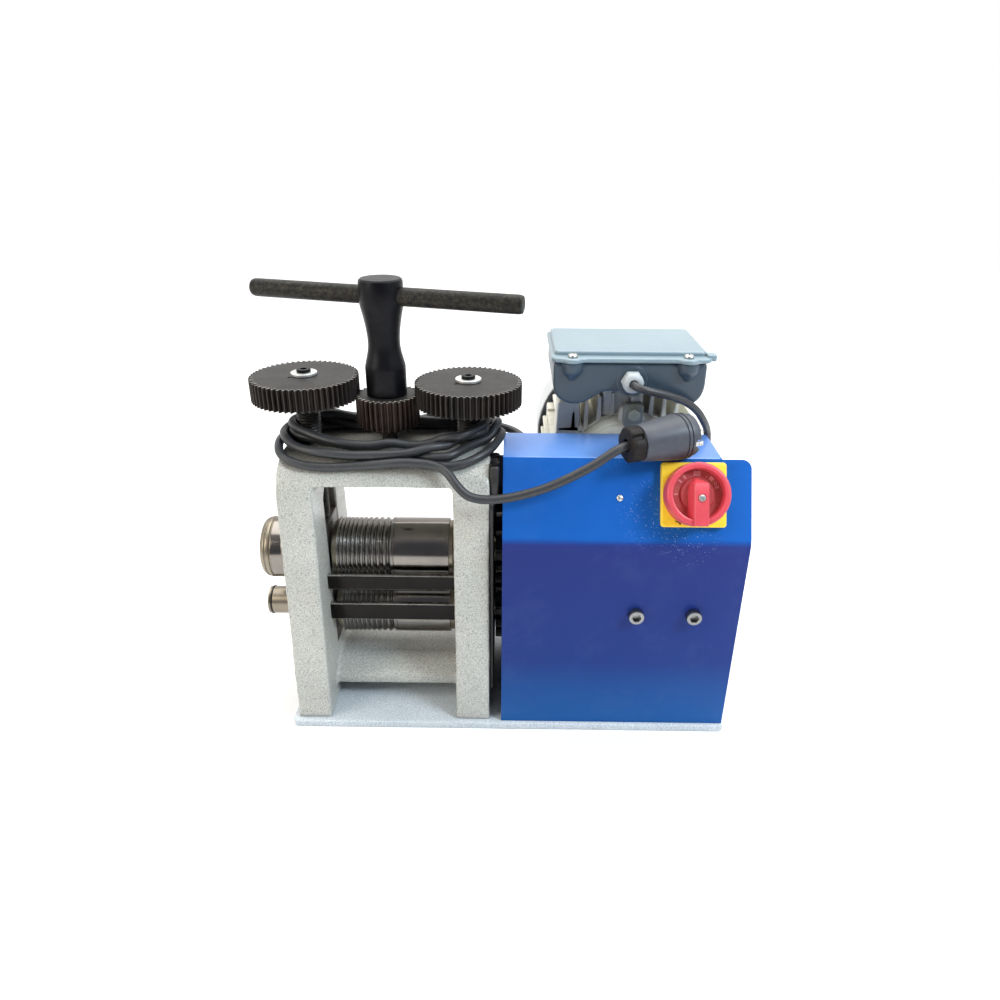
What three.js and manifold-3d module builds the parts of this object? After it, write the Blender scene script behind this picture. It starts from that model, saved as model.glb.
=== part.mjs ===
// Motor driven jewellers rolling mill, millimetres, +Z up, +X to the right of the operator, -Y towards the operator.
// Inside the group "mill" the origin is on the base plate's top face, midway between the cheeks, on the screw axes.
import * as THREE from "three";
import { mergeVertices } from "three/addons/utils/BufferGeometryUtils.js";
import Module from "manifold-3d";

const wasm = await Module();
wasm.setup();

// ---------------------------------------------------------------- driving dimensions
const GAP = 0.3; // play left between pieces that touch
const BASE = { x0: -106, x1: 346, y0: -89, y1: 225, t: 8 };
const CHEEK_IN = 66; // inner faces of the cheeks
const CHEEK_OUT = 100.5; // outer faces of the cheeks
const FRAME_TOP = 281;
const SHOULDER_R = 38; // rounded shoulder of the casting, centred at Y = SHOULDER_Y
const SHOULDER_Y = 28.5;
const FOOT_Y = 84; // half depth of the casting at its foot
const FACE_Y = SHOULDER_Y + SHOULDER_R; // half depth at the shoulder
const BRIDGE_Z = 258; // underside of the bridge
const WINDOW = { y: 25, z0: 54, z1: 238, r: 16 }; // bearing windows in the cheeks
const ROLL_R = 32.5;
const UPPER_Z = 160; // upper roll axis
const LOWER_Z = 92.5; // lower roll axis
const JOURNAL_R = 15;
const DRIVE_SHAFT_R = 13; // rolls, right of the cheek
const LEFT_END = -142; // left end of the lower roll, the machine's leftmost point
const FRONT_END = -102.4; // front of the switch knob, the machine's foremost point
const SCREW_X = 78.75; // pressure screw axes
const SCREW_R = 11.5;
const ADJ_MODULE = 1.75; // adjustment gears
const ADJ_WHEEL_TEETH = 57;
const ADJ_PINION_TEETH = 33;
const LEFT_GEAR_TOP = 348.5;
const RIGHT_GEAR_TOP = 343.5;
const ADJ_WHEEL_T = 22;
const PINION_TOP = 330.5;
const PINION_BOTTOM = 301;
const BAR_Z = 423.5; // handle bar axis
const BAR_R = 8.5;
const BAR_LENGTH = 270;
const BAR_TURN = -16.3; // degrees about Z, as it stands at rest
const ROLL_GEAR = { m: 6, n: 11, x0: 106, x1: 130, tip: 38.6, root: 25.6 };
const DRIVE = { m: 3, n: 45, x0: 134, x1: 150 };
const OUTPUT = { m: 3, n: 20, x0: 133, x1: 151 };
const MOTOR_X = 244; // motor axis, along Y
const MOTOR_Z = 235;
const WORM = { m: 2.5, pitchR: 12.5, tip: 15, root: 9.4, half: 16 };
const WHEEL = { n: 30, pitchR: 37.5, tip: 39.9, root: 34.3, half: 9 };
const OUT_Z = MOTOR_Z - WORM.pitchR - WHEEL.pitchR;
const OUT_CD = (DRIVE.m * (DRIVE.n + OUTPUT.n)) / 2;
const OUT_Y = -Math.sqrt(OUT_CD ** 2 - (OUT_Z - LOWER_Z) ** 2);
const COVER = { x0: 113, x1: 344.5, y: -85.35, bend: 214.8, topY: -49.4, topZ: 285.1, t: 1.5 };
const REAR = { x1: 319, y1: 20, top: 284.7, t: 1.5, guardX: 154, guardY: 76, guardZ: 210 };
const COVER_SCREWS = [243.4, 299.1]; // X of the two cover screws
const COVER_SCREW_Z = 136.3;
const SWITCH = { x: 289, along: 45.6 }; // centre of the switch plate, distance up the slope from the bend
const BOX = { x0: 160, x1: 306, y0: 0, y1: 108, z0: 334, z1: 362 };
const LID = { x0: 157.5, x1: 310.5, y0: -2, y1: 110, top: 371 };
const CORD_R = 4.25;
const LEAD_R = 3.75;

// ---------------------------------------------------------------- shape helpers
const rad = (d) => (d * Math.PI) / 180;

// Closed solid of a geometry, faces out.
function solid(geometry) {
  const g = geometry.index ? geometry.toNonIndexed() : geometry.clone();
  g.deleteAttribute("normal");
  g.deleteAttribute("uv");
  const merged = mergeVertices(g, 1e-4);
  const index = merged.index.array;
  const faces = [];
  for (let i = 0; i < index.length; i += 3) {
    const [a, b, c] = [index[i], index[i + 1], index[i + 2]];
    if (a !== b && b !== c && a !== c) faces.push(a, b, c);
  }
  const make = (t) =>
    new wasm.Manifold(
      new wasm.Mesh({
        numProp: 3,
        vertProperties: new Float32Array(merged.attributes.position.array),
        triVerts: new Uint32Array(t),
      }),
    );
  const made = make(faces);
  if (made.volume() > 0) return made;
  for (let i = 0; i < faces.length; i += 3) [faces[i + 1], faces[i + 2]] = [faces[i + 2], faces[i + 1]];
  return make(faces);
}

function geometryOf(made) {
  const mesh = made.getMesh();
  const position = new Float32Array(mesh.numVert * 3);
  for (let i = 0; i < mesh.numVert; i++)
    position.set(mesh.vertProperties.subarray(i * mesh.numProp, i * mesh.numProp + 3), i * 3);
  const g = new THREE.BufferGeometry()
    .setAttribute("position", new THREE.BufferAttribute(position, 3))
    .setIndex(new THREE.BufferAttribute(new Uint32Array(mesh.triVerts), 1))
    .toNonIndexed();
  g.computeVertexNormals();
  return g;
}

const join = (first, ...rest) => rest.reduce((a, b) => a.add(b), first);
const cut = (first, ...rest) => rest.reduce((a, b) => a.subtract(b), first);

const arc = (cx, cy, r, a0, a1, n) =>
  Array.from({ length: n + 1 }, (_, i) => {
    const a = rad(a0 + ((a1 - a0) * i) / n);
    return [cx + r * Math.cos(a), cy + r * Math.sin(a)];
  });
const circle = (cx, cy, r, n, turn = 0) =>
  Array.from({ length: n }, (_, i) => {
    const a = rad(turn) + (2 * Math.PI * i) / n;
    return [cx + r * Math.cos(a), cy + r * Math.sin(a)];
  });
const roundRect = (x0, x1, y0, y1, r, n = 3) => [
  ...arc(x1 - r, y1 - r, r, 0, 90, n),
  ...arc(x0 + r, y1 - r, r, 90, 180, n),
  ...arc(x0 + r, y0 + r, r, 180, 270, n),
  ...arc(x1 - r, y0 + r, r, 270, 360, n),
];

const PLANES = {
  xy: [new THREE.Vector3(1, 0, 0), new THREE.Vector3(0, 1, 0), new THREE.Vector3(0, 0, 1)],
  yz: [new THREE.Vector3(0, 1, 0), new THREE.Vector3(0, 0, 1), new THREE.Vector3(1, 0, 0)],
  xz: [new THREE.Vector3(1, 0, 0), new THREE.Vector3(0, 0, 1), new THREE.Vector3(0, 1, 0)],
};

// Flat outline in a plane, from lo to hi across it.
function slabGeometry(outline, plane, lo, hi, holes = [], steps = 1) {
  const shape = new THREE.Shape(outline.map(([a, b]) => new THREE.Vector2(a, b)));
  for (const h of holes) shape.holes.push(new THREE.Path(h.map(([a, b]) => new THREE.Vector2(a, b))));
  const g = new THREE.ExtrudeGeometry(shape, { depth: hi - lo, bevelEnabled: false, steps, curveSegments: 1 });
  g.translate(0, 0, lo);
  g.applyMatrix4(new THREE.Matrix4().makeBasis(...PLANES[plane]));
  return g;
}
const slab = (outline, plane, lo, hi, holes = []) => solid(slabGeometry(outline, plane, lo, hi, holes));
const block = (x0, x1, y0, y1, z0, z1) =>
  solid(new THREE.BoxGeometry(x1 - x0, y1 - y0, z1 - z0).translate((x0 + x1) / 2, (y0 + y1) / 2, (z0 + z1) / 2));

// Turned body about an axis through (a, b): profile of [radius, height] from the axis back to the axis, or closed.
function turned(profile, axis, a = 0, b = 0, segments = 32) {
  const g = new THREE.LatheGeometry(
    profile.map(([r, h]) => new THREE.Vector2(r, h)),
    segments,
  );
  if (axis === "z") g.rotateX(Math.PI / 2).translate(a, b, 0);
  if (axis === "x") g.rotateZ(-Math.PI / 2).translate(0, a, b);
  if (axis === "y") g.translate(a, 0, b);
  return solid(g);
}
const rod = (r, lo, hi, axis, a = 0, b = 0, segments = 24) =>
  turned(
    [
      [0, lo],
      [r, lo],
      [r, hi],
      [0, hi],
    ],
    axis,
    a,
    b,
    segments,
  );

// Spur gear outline with tooth 0 on the first axis of its plane.
function gearOutline(m, n, { thin = 0.1, tip, root, points = 2 } = {}) {
  const pitch = (m * n) / 2;
  const base = pitch * Math.cos(rad(20));
  const outer = tip ?? pitch + m;
  const inner = root ?? pitch - 1.25 * m;
  const inv = (r) => {
    const a = Math.acos(Math.min(1, base / r));
    return Math.tan(a) - a;
  };
  const half = (r) => (Math.PI * m * (0.5 - thin)) / 2 / pitch + inv(pitch) - inv(Math.max(r, base));
  const radii = [];
  if (inner < base - 0.05 && points > 2) radii.push(inner);
  const from = points > 2 ? Math.max(inner, base) : inner;
  for (let i = 0; i < points; i++) radii.push(from + ((outer - from) * i) / (points - 1));
  const out = [];
  for (let k = 0; k < n; k++) {
    const c = (2 * Math.PI * k) / n;
    for (const r of radii) out.push([r * Math.cos(c - half(r)), r * Math.sin(c - half(r))]);
    for (const r of [...radii].reverse()) out.push([r * Math.cos(c + half(r)), r * Math.sin(c + half(r))]);
  }
  return out;
}

// Round cable along points.
function cable(points, r, steps, sides = 9) {
  const path = new THREE.CatmullRomCurve3(
    points.map((p) => new THREE.Vector3(...p)),
    false,
    "centripetal",
  );
  const shape = new THREE.Shape(circle(0, 0, r, sides).map(([a, b]) => new THREE.Vector2(a, b)));
  return solid(new THREE.ExtrudeGeometry(shape, { steps, bevelEnabled: false, extrudePath: path, curveSegments: 1 }));
}

// ---------------------------------------------------------------- materials
const look = (color, roughness, metalness) => ({ color, roughness, metalness });
const HAMMERTONE = look(0xc9ccc4, 0.55, 0.1);
const DARK_PLATE = look(0x24201f, 0.6, 0.3);
const BRIGHT_STEEL = look(0xa9a39b, 0.28, 0.9);
const BAR_STEEL = look(0x3a3836, 0.35, 0.8);
const BLACK_OXIDE = look(0x2e2b2c, 0.45, 0.6);
const BLOCK_IRON = look(0x5a5550, 0.6, 0.6);
const GEAR_IRON = look(0x2b2523, 0.55, 0.6);
const ZINC = look(0xd9d8d4, 0.35, 0.8);
const BLUE = look(0x1a56b0, 0.3, 0.1);
const YELLOW = look(0xf4b924, 0.45, 0);
const RED = look(0xd42e3e, 0.4, 0);
const CREAM = look(0xc9c6b2, 0.55, 0.1);
const COWL_GREY = look(0xc5c8c8, 0.5, 0.1);
const BOX_GREY = look(0x8fa5ae, 0.45, 0.1);
const GLAND_GREY = look(0xb4b7b9, 0.6, 0);
const BRONZE = look(0x9a6b35, 0.4, 0.9);
const CASE_IRON = look(0x6b6f70, 0.6, 0.4);
const RUBBER = look(0x3c3c44, 0.7, 0);
const COLLAR_BROWN = look(0x2b2320, 0.75, 0);
const FAN_BLACK = look(0x202020, 0.6, 0);

const mill = new THREE.Group();
mill.name = "mill";

function piece(name, made, surface, parent = mill) {
  const geometry = made.isBufferGeometry ? made : geometryOf(made);
  const mesh = new THREE.Mesh(geometry, new THREE.MeshStandardMaterial({ ...surface, name }));
  mesh.name = name;
  parent.add(mesh);
  return mesh;
}
function placed(name, x, y, z, parent = mill) {
  const g = new THREE.Group();
  g.name = name;
  g.position.set(x, y, z);
  parent.add(g);
  return g;
}

// ---------------------------------------------------------------- base and casting
piece("base_plate", slab(roundRect(BASE.x0, BASE.x1, BASE.y0, BASE.y1, 4), "xy", -BASE.t, 0), HAMMERTONE);

const castingOutline = (grow = 0) => {
  const r = SHOULDER_R + grow;
  const foot = FOOT_Y + grow;
  return [
    [-foot, GAP],
    [foot, GAP],
    ...arc(SHOULDER_Y, FRAME_TOP - SHOULDER_R, r, 0, 90, 7),
    ...arc(-SHOULDER_Y, FRAME_TOP - SHOULDER_R, r, 90, 180, 7),
  ];
};
const beamOutline = [
  [-50, 18],
  [50, 18],
  [50, 31],
  [24, 43.5],
  [-24, 43.5],
  [-50, 31],
];
const windowOutline = [
  [-WINDOW.y, WINDOW.z0],
  [WINDOW.y, WINDOW.z0],
  ...arc(WINDOW.y - WINDOW.r, WINDOW.z1 - WINDOW.r, WINDOW.r, 0, 90, 4),
  ...arc(-WINDOW.y + WINDOW.r, WINDOW.z1 - WINDOW.r, WINDOW.r, 90, 180, 4),
];
const bridgeOutline = castingOutline()
  .filter(([, z]) => z > BRIDGE_Z)
  .concat([
    [-SHOULDER_Y - Math.sqrt(SHOULDER_R ** 2 - (BRIDGE_Z - FRAME_TOP + SHOULDER_R) ** 2) + 0.2, BRIDGE_Z],
    [SHOULDER_Y + Math.sqrt(SHOULDER_R ** 2 - (BRIDGE_Z - FRAME_TOP + SHOULDER_R) ** 2) - 0.2, BRIDGE_Z],
  ]);
const GUIDE_BARS = [
  ["guide_bar_upper", 133, 150],
  ["guide_bar_lower", 96.4, 115.8],
];
const GUIDE = { y0: -42.5, y1: -37.3, pocket: 4 };
const cheek = slab(castingOutline(), "yz", CHEEK_IN, CHEEK_OUT);
const cheekLeft = slab(castingOutline(), "yz", -CHEEK_OUT, -CHEEK_IN);
let casting = join(
  cheek,
  cheekLeft,
  slab(bridgeOutline, "yz", -CHEEK_IN - 1, CHEEK_IN + 1),
  slab(beamOutline, "yz", -CHEEK_IN - 1, CHEEK_IN + 1),
);
casting = cut(
  casting,
  slab(windowOutline, "yz", -CHEEK_OUT - 1, -CHEEK_IN + 0.5),
  slab(windowOutline, "yz", CHEEK_IN - 0.5, CHEEK_OUT + 1),
  rod(SCREW_R + 0.5, WINDOW.z1 - 5, FRAME_TOP + 2, "z", -SCREW_X, 0),
  rod(SCREW_R + 0.5, WINDOW.z1 - 5, FRAME_TOP + 2, "z", SCREW_X, 0),
  rod(8, BRIDGE_Z - 2, FRAME_TOP + 2, "z", 0, 0),
  ...GUIDE_BARS.map(([, z0, z1]) =>
    block(-CHEEK_IN - GUIDE.pocket, CHEEK_IN + GUIDE.pocket, GUIDE.y0 - GAP, GUIDE.y1 + 0.5, z0 - GAP, z1 + GAP),
  ),
);
piece("mill_frame", casting, HAMMERTONE);

for (const [name, z0, z1] of GUIDE_BARS) {
  const half = CHEEK_IN + GUIDE.pocket - GAP;
  piece(name, block(-half, half, GUIDE.y0, GUIDE.y1, z0, z1), BAR_STEEL);
}

// Dark plate on the outside of the right cheek, bored for both roll shafts, and the block that carries the cover.
piece(
  "gear_backing_plate",
  slab(
    roundRect(-66, 66, 24, 244, 6),
    "yz",
    CHEEK_OUT + 0.6,
    CHEEK_OUT + 3.8,
    [
      circle(0, LOWER_Z, 18, 24),
      [...arc(0, UPPER_Z + 4, 18, 0, 180, 10), ...arc(0, UPPER_Z - 4, 18, 180, 360, 10)],
    ],
  ),
  DARK_PLATE,
);
piece("cover_bracket", block(CHEEK_OUT + 0.5, 109.3, -60, -24, 250, 279), DARK_PLATE);

// ---------------------------------------------------------------- bearing blocks
const blockSolid = (z0, z1, z) =>
  cut(
    block(CHEEK_IN + GAP, CHEEK_OUT - 0.5, -WINDOW.y + 0.5, WINDOW.y - 0.5, z0, z1),
    rod(JOURNAL_R + 0.3, CHEEK_IN - 2, CHEEK_OUT + 2, "x", 0, z, 28),
  );
const lowerBlock = geometryOf(blockSolid(WINDOW.z0 + GAP, 124, LOWER_Z));
const upperBlock = geometryOf(blockSolid(128.5, 196, UPPER_Z));
const pairSpan = -(CHEEK_IN + GAP + CHEEK_OUT - 0.5);
piece("lower_block_right", lowerBlock, BLOCK_IRON);
piece("lower_block_left", lowerBlock, BLOCK_IRON).position.x = pairSpan;
piece("upper_block_right", upperBlock, BLOCK_IRON);
piece("upper_block_left", upperBlock, BLOCK_IRON).position.x = pairSpan;

// ---------------------------------------------------------------- rolls
// Body with V grooves that get coarser from left to right, slim collars, journals and a thinner drive end.
const GROOVES = [
  [-54, 3.2],
  [-46.5, 3.8],
  [-37.5, 4.4],
  [-27, 5],
  [-14.5, 5.6],
];
const rollProfile = (leftEnd, leftR, rightEnd) => [
  [0, leftEnd],
  [leftR - 1, leftEnd],
  [leftR, leftEnd + 1],
  ...(leftR === JOURNAL_R ? [] : [[leftR, -CHEEK_OUT - 1.5], [JOURNAL_R, -CHEEK_OUT - 1.5]]),
  [JOURNAL_R, -64.5],
  [30, -64.5],
  [30, -58.5],
  [ROLL_R, -58.5],
  ...GROOVES.flatMap(([x, w]) => [
    [ROLL_R, x - w / 2],
    [ROLL_R - w / 2, x],
    [ROLL_R, x + w / 2],
  ]),
  [ROLL_R, 57.5],
  [30, 57.5],
  [30, 64.5],
  [JOURNAL_R, 64.5],
  [JOURNAL_R, CHEEK_OUT + 1],
  [DRIVE_SHAFT_R, CHEEK_OUT + 1],
  [DRIVE_SHAFT_R, rightEnd - 1],
  [DRIVE_SHAFT_R - 1, rightEnd],
  [0, rightEnd],
];
const SIDE_ROLL = { x0: -138, x1: -102.6, shaftR: 11 };
const upperTrain = placed("upper_roll_train", 0, 0, UPPER_Z);
piece("upper_roll", turned(rollProfile(-136, SIDE_ROLL.shaftR, 131), "x", 0, 0, 20), BRIGHT_STEEL, upperTrain);
piece(
  "side_roll",
  turned(
    [
      [SIDE_ROLL.shaftR + GAP, SIDE_ROLL.x0 + 4],
      [SIDE_ROLL.shaftR + 6, SIDE_ROLL.x0 + 4],
      [SIDE_ROLL.shaftR + 8, SIDE_ROLL.x0],
      [26.5, SIDE_ROLL.x0],
      [30, SIDE_ROLL.x0 + 1.8],
      [ROLL_R, SIDE_ROLL.x0 + 7],
      [ROLL_R, -114],
      [36, -112.5],
      [36, -105],
      [33, SIDE_ROLL.x1],
      [SIDE_ROLL.shaftR + GAP, SIDE_ROLL.x1],
      [SIDE_ROLL.shaftR + GAP, SIDE_ROLL.x0 + 4],
    ],
    "x",
    0,
    0,
    24,
  ),
  BRIGHT_STEEL,
  upperTrain,
);
const CIRCLIP_X = -138.6;
const lowerTrain = placed("lower_roll_train", 0, 0, LOWER_Z);
piece(
  "lower_roll",
  cut(
    turned(rollProfile(LEFT_END, JOURNAL_R, 152), "x", 0, 0, 20),
    turned(
      [
        [13, CIRCLIP_X - 1],
        [17, CIRCLIP_X - 1],
        [17, CIRCLIP_X + 1],
        [13, CIRCLIP_X + 1],
        [13, CIRCLIP_X - 1],
      ],
      "x",
      0,
      0,
      24,
    ),
  ),
  BRIGHT_STEEL,
  lowerTrain,
);
piece(
  "shaft_circlip",
  cut(
    turned(
      [
        [13.4, CIRCLIP_X - 0.7],
        [15.8, CIRCLIP_X - 0.7],
        [15.8, CIRCLIP_X + 0.7],
        [13.4, CIRCLIP_X + 0.7],
        [13.4, CIRCLIP_X - 0.7],
      ],
      "x",
      0,
      0,
      24,
    ),
    block(CIRCLIP_X - 3, CIRCLIP_X + 3, -4, 4, -20, -10),
  ),
  DARK_PLATE,
  lowerTrain,
);

// ---------------------------------------------------------------- roll gears and drive gears
const rollGear = geometryOf(
  slab(
    gearOutline(ROLL_GEAR.m, ROLL_GEAR.n, { thin: 0.12, tip: ROLL_GEAR.tip, root: ROLL_GEAR.root, points: 4 }),
    "yz",
    ROLL_GEAR.x0,
    ROLL_GEAR.x1,
    [circle(0, 0, DRIVE_SHAFT_R + GAP, 24)],
  ),
);
piece("upper_roll_gear", rollGear, GEAR_IRON, upperTrain).rotation.x = rad(90);
piece("lower_roll_gear", rollGear, GEAR_IRON, lowerTrain).rotation.x = rad(90);
const meshAngle = Math.atan2(OUT_Z - LOWER_Z, OUT_Y);
piece(
  "drive_gear",
  slab(gearOutline(DRIVE.m, DRIVE.n, { thin: 0.08 }), "yz", DRIVE.x0, DRIVE.x1, [
    circle(0, 0, DRIVE_SHAFT_R + GAP, 24),
  ]),
  GEAR_IRON,
  lowerTrain,
).rotation.x = meshAngle;

const outputTrain = placed("output_train", 0, OUT_Y, OUT_Z);
piece(
  "output_pinion",
  slab(gearOutline(OUTPUT.m, OUTPUT.n, { thin: 0.1 }), "yz", OUTPUT.x0, OUTPUT.x1, [
    circle(0, 0, 10.3, 20),
  ]),
  GEAR_IRON,
  outputTrain,
).rotation.x = meshAngle + Math.PI + Math.PI / OUTPUT.n;
piece(
  "output_shaft",
  turned(
    [
      [0, 131],
      [9, 131],
      [10, 132],
      [10, 232.4],
      [13, 232.4],
      [13, 234.4],
      [10, 234.4],
      [10, 258],
      [0, 258],
    ],
    "x",
    0,
    0,
    24,
  ),
  BRIGHT_STEEL,
  outputTrain,
);

// Worm wheel: helical teeth of the worm's lead, a gap on top where the worm runs.
const wheelGeometry = slabGeometry(
  gearOutline(WORM.m, WHEEL.n, { thin: 0.15, tip: WHEEL.tip, root: WHEEL.root }),
  "yz",
  -WHEEL.half,
  WHEEL.half,
  [circle(0, 0, 10.3, 20)],
  2,
);
{
  const p = wheelGeometry.attributes.position;
  const perMm = WORM.m / (2 * WORM.pitchR) / WHEEL.pitchR;
  for (let i = 0; i < p.count; i++) {
    const a = perMm * p.getX(i);
    const [y, z] = [p.getY(i), p.getZ(i)];
    if (Math.hypot(y, z) > 12) p.setXYZ(i, p.getX(i), y * Math.cos(a) - z * Math.sin(a), y * Math.sin(a) + z * Math.cos(a));
  }
}
const wormWheel = piece("worm_wheel", solid(wheelGeometry), BRONZE, outputTrain);
wormWheel.position.x = MOTOR_X;
wormWheel.rotation.x = Math.PI / 2 + Math.PI / WHEEL.n;

// Worm: right handed single thread along Y, thread centred under the shaft at the wheel's axis plane.
const rotorTrain = placed("rotor_train", MOTOR_X, 0, MOTOR_Z);
{
  const lead = Math.PI * WORM.m;
  const perTurn = 12;
  const turns = (2 * WORM.half - 3) / lead;
  const count = Math.round(turns * perTurn);
  const halfAt = (r) => 0.175 * lead - (r - WORM.pitchR) * Math.tan(rad(20));
  const low = WORM.root - 1.2;
  const section = [
    [low, -halfAt(low)],
    [WORM.tip, -halfAt(WORM.tip)],
    [WORM.tip, halfAt(WORM.tip)],
    [low, halfAt(low)],
  ];
  const positions = [];
  for (let i = 0; i <= count; i++) {
    const turn = ((i - count / 2) / perTurn) * 2 * Math.PI;
    const a = Math.PI + turn;
    for (const [r, h] of section)
      positions.push(r * Math.sin(a), OUT_Y + (lead * turn) / (2 * Math.PI) + h, r * Math.cos(a));
  }
  const index = [0, 1, 2, 0, 2, 3];
  for (let i = 0; i < count; i++)
    for (let k = 0; k < 4; k++) {
      const [a, b] = [4 * i + k, 4 * i + ((k + 1) % 4)];
      index.push(a, a + 4, b, b, a + 4, b + 4);
    }
  const e = 4 * count;
  index.push(e, e + 2, e + 1, e, e + 3, e + 2);
  const thread = new THREE.BufferGeometry()
    .setAttribute("position", new THREE.BufferAttribute(new Float32Array(positions), 3))
    .setIndex(index);
  piece(
    "worm",
    join(
      solid(thread),
      turned(
        [
          [0, OUT_Y - WORM.half - 3.5],
          [7, OUT_Y - WORM.half - 3.5],
          [7, OUT_Y - WORM.half],
          [WORM.root, OUT_Y - WORM.half],
          [WORM.root, -8.5],
          [0, -8.5],
        ],
        "y",
        0,
        0,
        16,
      ),
    ),
    BRIGHT_STEEL,
    rotorTrain,
  );
}

// ---------------------------------------------------------------- gearbox
const caseOutline = (w) => [
  [-75.5 + w, 140.5 + w],
  [14 - w, 140.5 + w],
  [14 - w, 256 - w],
  [-52 + 0.62 * w, 256 - w],
  [-75.5 + w, 205 - 0.25 * w],
];
const CASE = { x0: 224, x1: 262, wall: 4 };
piece(
  "gearbox_housing",
  cut(
    join(
      slab(caseOutline(0), "yz", CASE.x0, CASE.x1),
      block(228, 308, -75.5, 8, GAP, 152),
      block(222, 312, -78, 14, GAP, 10),
      ...COVER_SCREWS.map((x) => rod(9, -83.5, -74, "y", x, COVER_SCREW_Z, 20)),
      rod(34, 13, REAR.y1 - REAR.t - GAP, "y", MOTOR_X, MOTOR_Z, 28),
    ),
    slab(caseOutline(CASE.wall), "yz", CASE.x0 + CASE.wall, CASE.x1 + 1),
    block(244, 290, -90, 30, 12, 126),
    rod(10.6, CASE.x0 - 2, CASE.x0 + CASE.wall + 1, "x", OUT_Y, OUT_Z, 20),
    rod(10.5, 8, 25, "y", MOTOR_X, MOTOR_Z, 20),
    rod(30.4, 14.2, 25, "y", MOTOR_X, MOTOR_Z, 28),
    ...COVER_SCREWS.map((x) => rod(4.8, -90, -60, "y", x, COVER_SCREW_Z, 16)),
  ),
  CASE_IRON,
);
piece("gearbox_side_cover", slab(caseOutline(0).map(([y, z]) => [Math.min(y, 12.5), Math.max(z, 152.5)]), "yz", CASE.x1 + GAP, CASE.x1 + 3.4), CASE_IRON);

// ---------------------------------------------------------------- motor
piece(
  "motor_shaft",
  turned(
    [
      [0, -8.2],
      [9.5, -8.2],
      [9.5, 55],
      [44.4, 55],
      [44.4, 140],
      [9.5, 140],
      [9.5, 191],
      [0, 191],
    ],
    "y",
    0,
    0,
    28,
  ),
  BRIGHT_STEEL,
  rotorTrain,
);
piece(
  "cooling_fan",
  join(
    turned(
      [
        [9.8, 170],
        [18, 170],
        [60, 173],
        [60, 175],
        [18, 186],
        [9.8, 186],
        [9.8, 170],
      ],
      "y",
      0,
      0,
      20,
    ),
    ...Array.from({ length: 6 }, (_, i) =>
      solid(
        new THREE.BoxGeometry(60, 20, 2)
          .translate(46, 180, 0)
          .rotateY((i * Math.PI) / 3),
      ),
    ),
  ),
  FAN_BLACK,
  rotorTrain,
);
const LUG = { x0: 233, x1: 253, z0: 290, z1: 315, y0: 20.6, y1: 33 };
const STATOR_Y = 38.8; // front face of the finned housing
piece(
  "motor_front_shield",
  cut(
    join(
      turned(
        [
          [0, 14.5],
          [30, 14.5],
          [30, REAR.y1 + GAP],
          [54, REAR.y1 + GAP],
          [59, 23],
          [63, 30],
          [64.5, 36],
          [64.5, STATOR_Y - GAP],
          [0, STATOR_Y - GAP],
        ],
        "y",
        MOTOR_X,
        MOTOR_Z,
        28,
      ),
      slab(roundRect(LUG.x0, LUG.x1, LUG.z0, LUG.z1, 3, 2), "xz", LUG.y0, LUG.y1),
    ),
    rod(10.5, 10, 45, "y", MOTOR_X, MOTOR_Z, 20),
    rod(36, 30, 45, "y", MOTOR_X, MOTOR_Z, 24),
    rod(3.5, 15, 45, "y", MOTOR_X - 1, 304, 12),
  ),
  CREAM,
);
// Parallel cooling fins: upright ones above and below the shell, level ones at its sides.
const FIN = { shell: 66, tip: 88, pitch: 13.2, half: 1.3, rootHalf: 2.2 };
const finOutlines = () => {
  const out = [];
  for (const upright of [true, false])
    for (let k = -5; k < 5; k++) {
      const d = (k + 0.5) * FIN.pitch;
      const from = Math.max(Math.sqrt(FIN.shell ** 2 - d ** 2) - 3, upright ? Math.abs(d) - 15 : Math.abs(d) + 3);
      const to = Math.sqrt(FIN.tip ** 2 - d ** 2);
      if (to - from < 8) continue;
      for (const s of [1, -1]) {
        const ring = [
          [d - FIN.rootHalf, s * from],
          [d + FIN.rootHalf, s * from],
          [d + FIN.half, s * to],
          [d - FIN.half, s * to],
        ].map(([a, b]) => (upright ? [MOTOR_X + a, MOTOR_Z + b] : [MOTOR_X + b, MOTOR_Z + a]));
        out.push(upright === s > 0 ? ring : ring.reverse());
      }
    }
  return out;
};
piece(
  "stator_housing",
  cut(
    join(
      rod(FIN.shell, STATOR_Y, 152, "y", MOTOR_X, MOTOR_Z, 40),
      ...finOutlines().map((ring) => slab(ring, "xz", STATOR_Y, 152)),
      rod(78, 150, 164, "y", MOTOR_X, MOTOR_Z, 36),
      block(214, 256, 42, 95, 295, BOX.z0 - GAP),
      block(168, 190, STATOR_Y, 74, 275, 311),
      block(162.5, 176, 128, 152, 236, 273),
      ...[45, 135, 225, 315].map((a) =>
        solid(
          new THREE.BoxGeometry(14, 8, 12)
            .translate(81.5, 0, 0)
            .rotateY(-rad(a))
            .translate(MOTOR_X, 160, MOTOR_Z),
        ),
      ),
    ),
    rod(45, 37, 146, "y", MOTOR_X, MOTOR_Z, 28),
    rod(10.5, 140, 170, "y", MOTOR_X, MOTOR_Z, 20),
    block(221, 249, 48, 89, 310, 340),
  ),
  CREAM,
);
piece(
  "shield_bolt",
  join(
    slab(circle(MOTOR_X - 1, 304, 7, 6, 30), "xz", LUG.y0 - 6.3, LUG.y0 - GAP),
    rod(3, LUG.y0 - 1, 38, "y", MOTOR_X - 1, 304, 12),
  ),
  ZINC,
);
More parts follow.
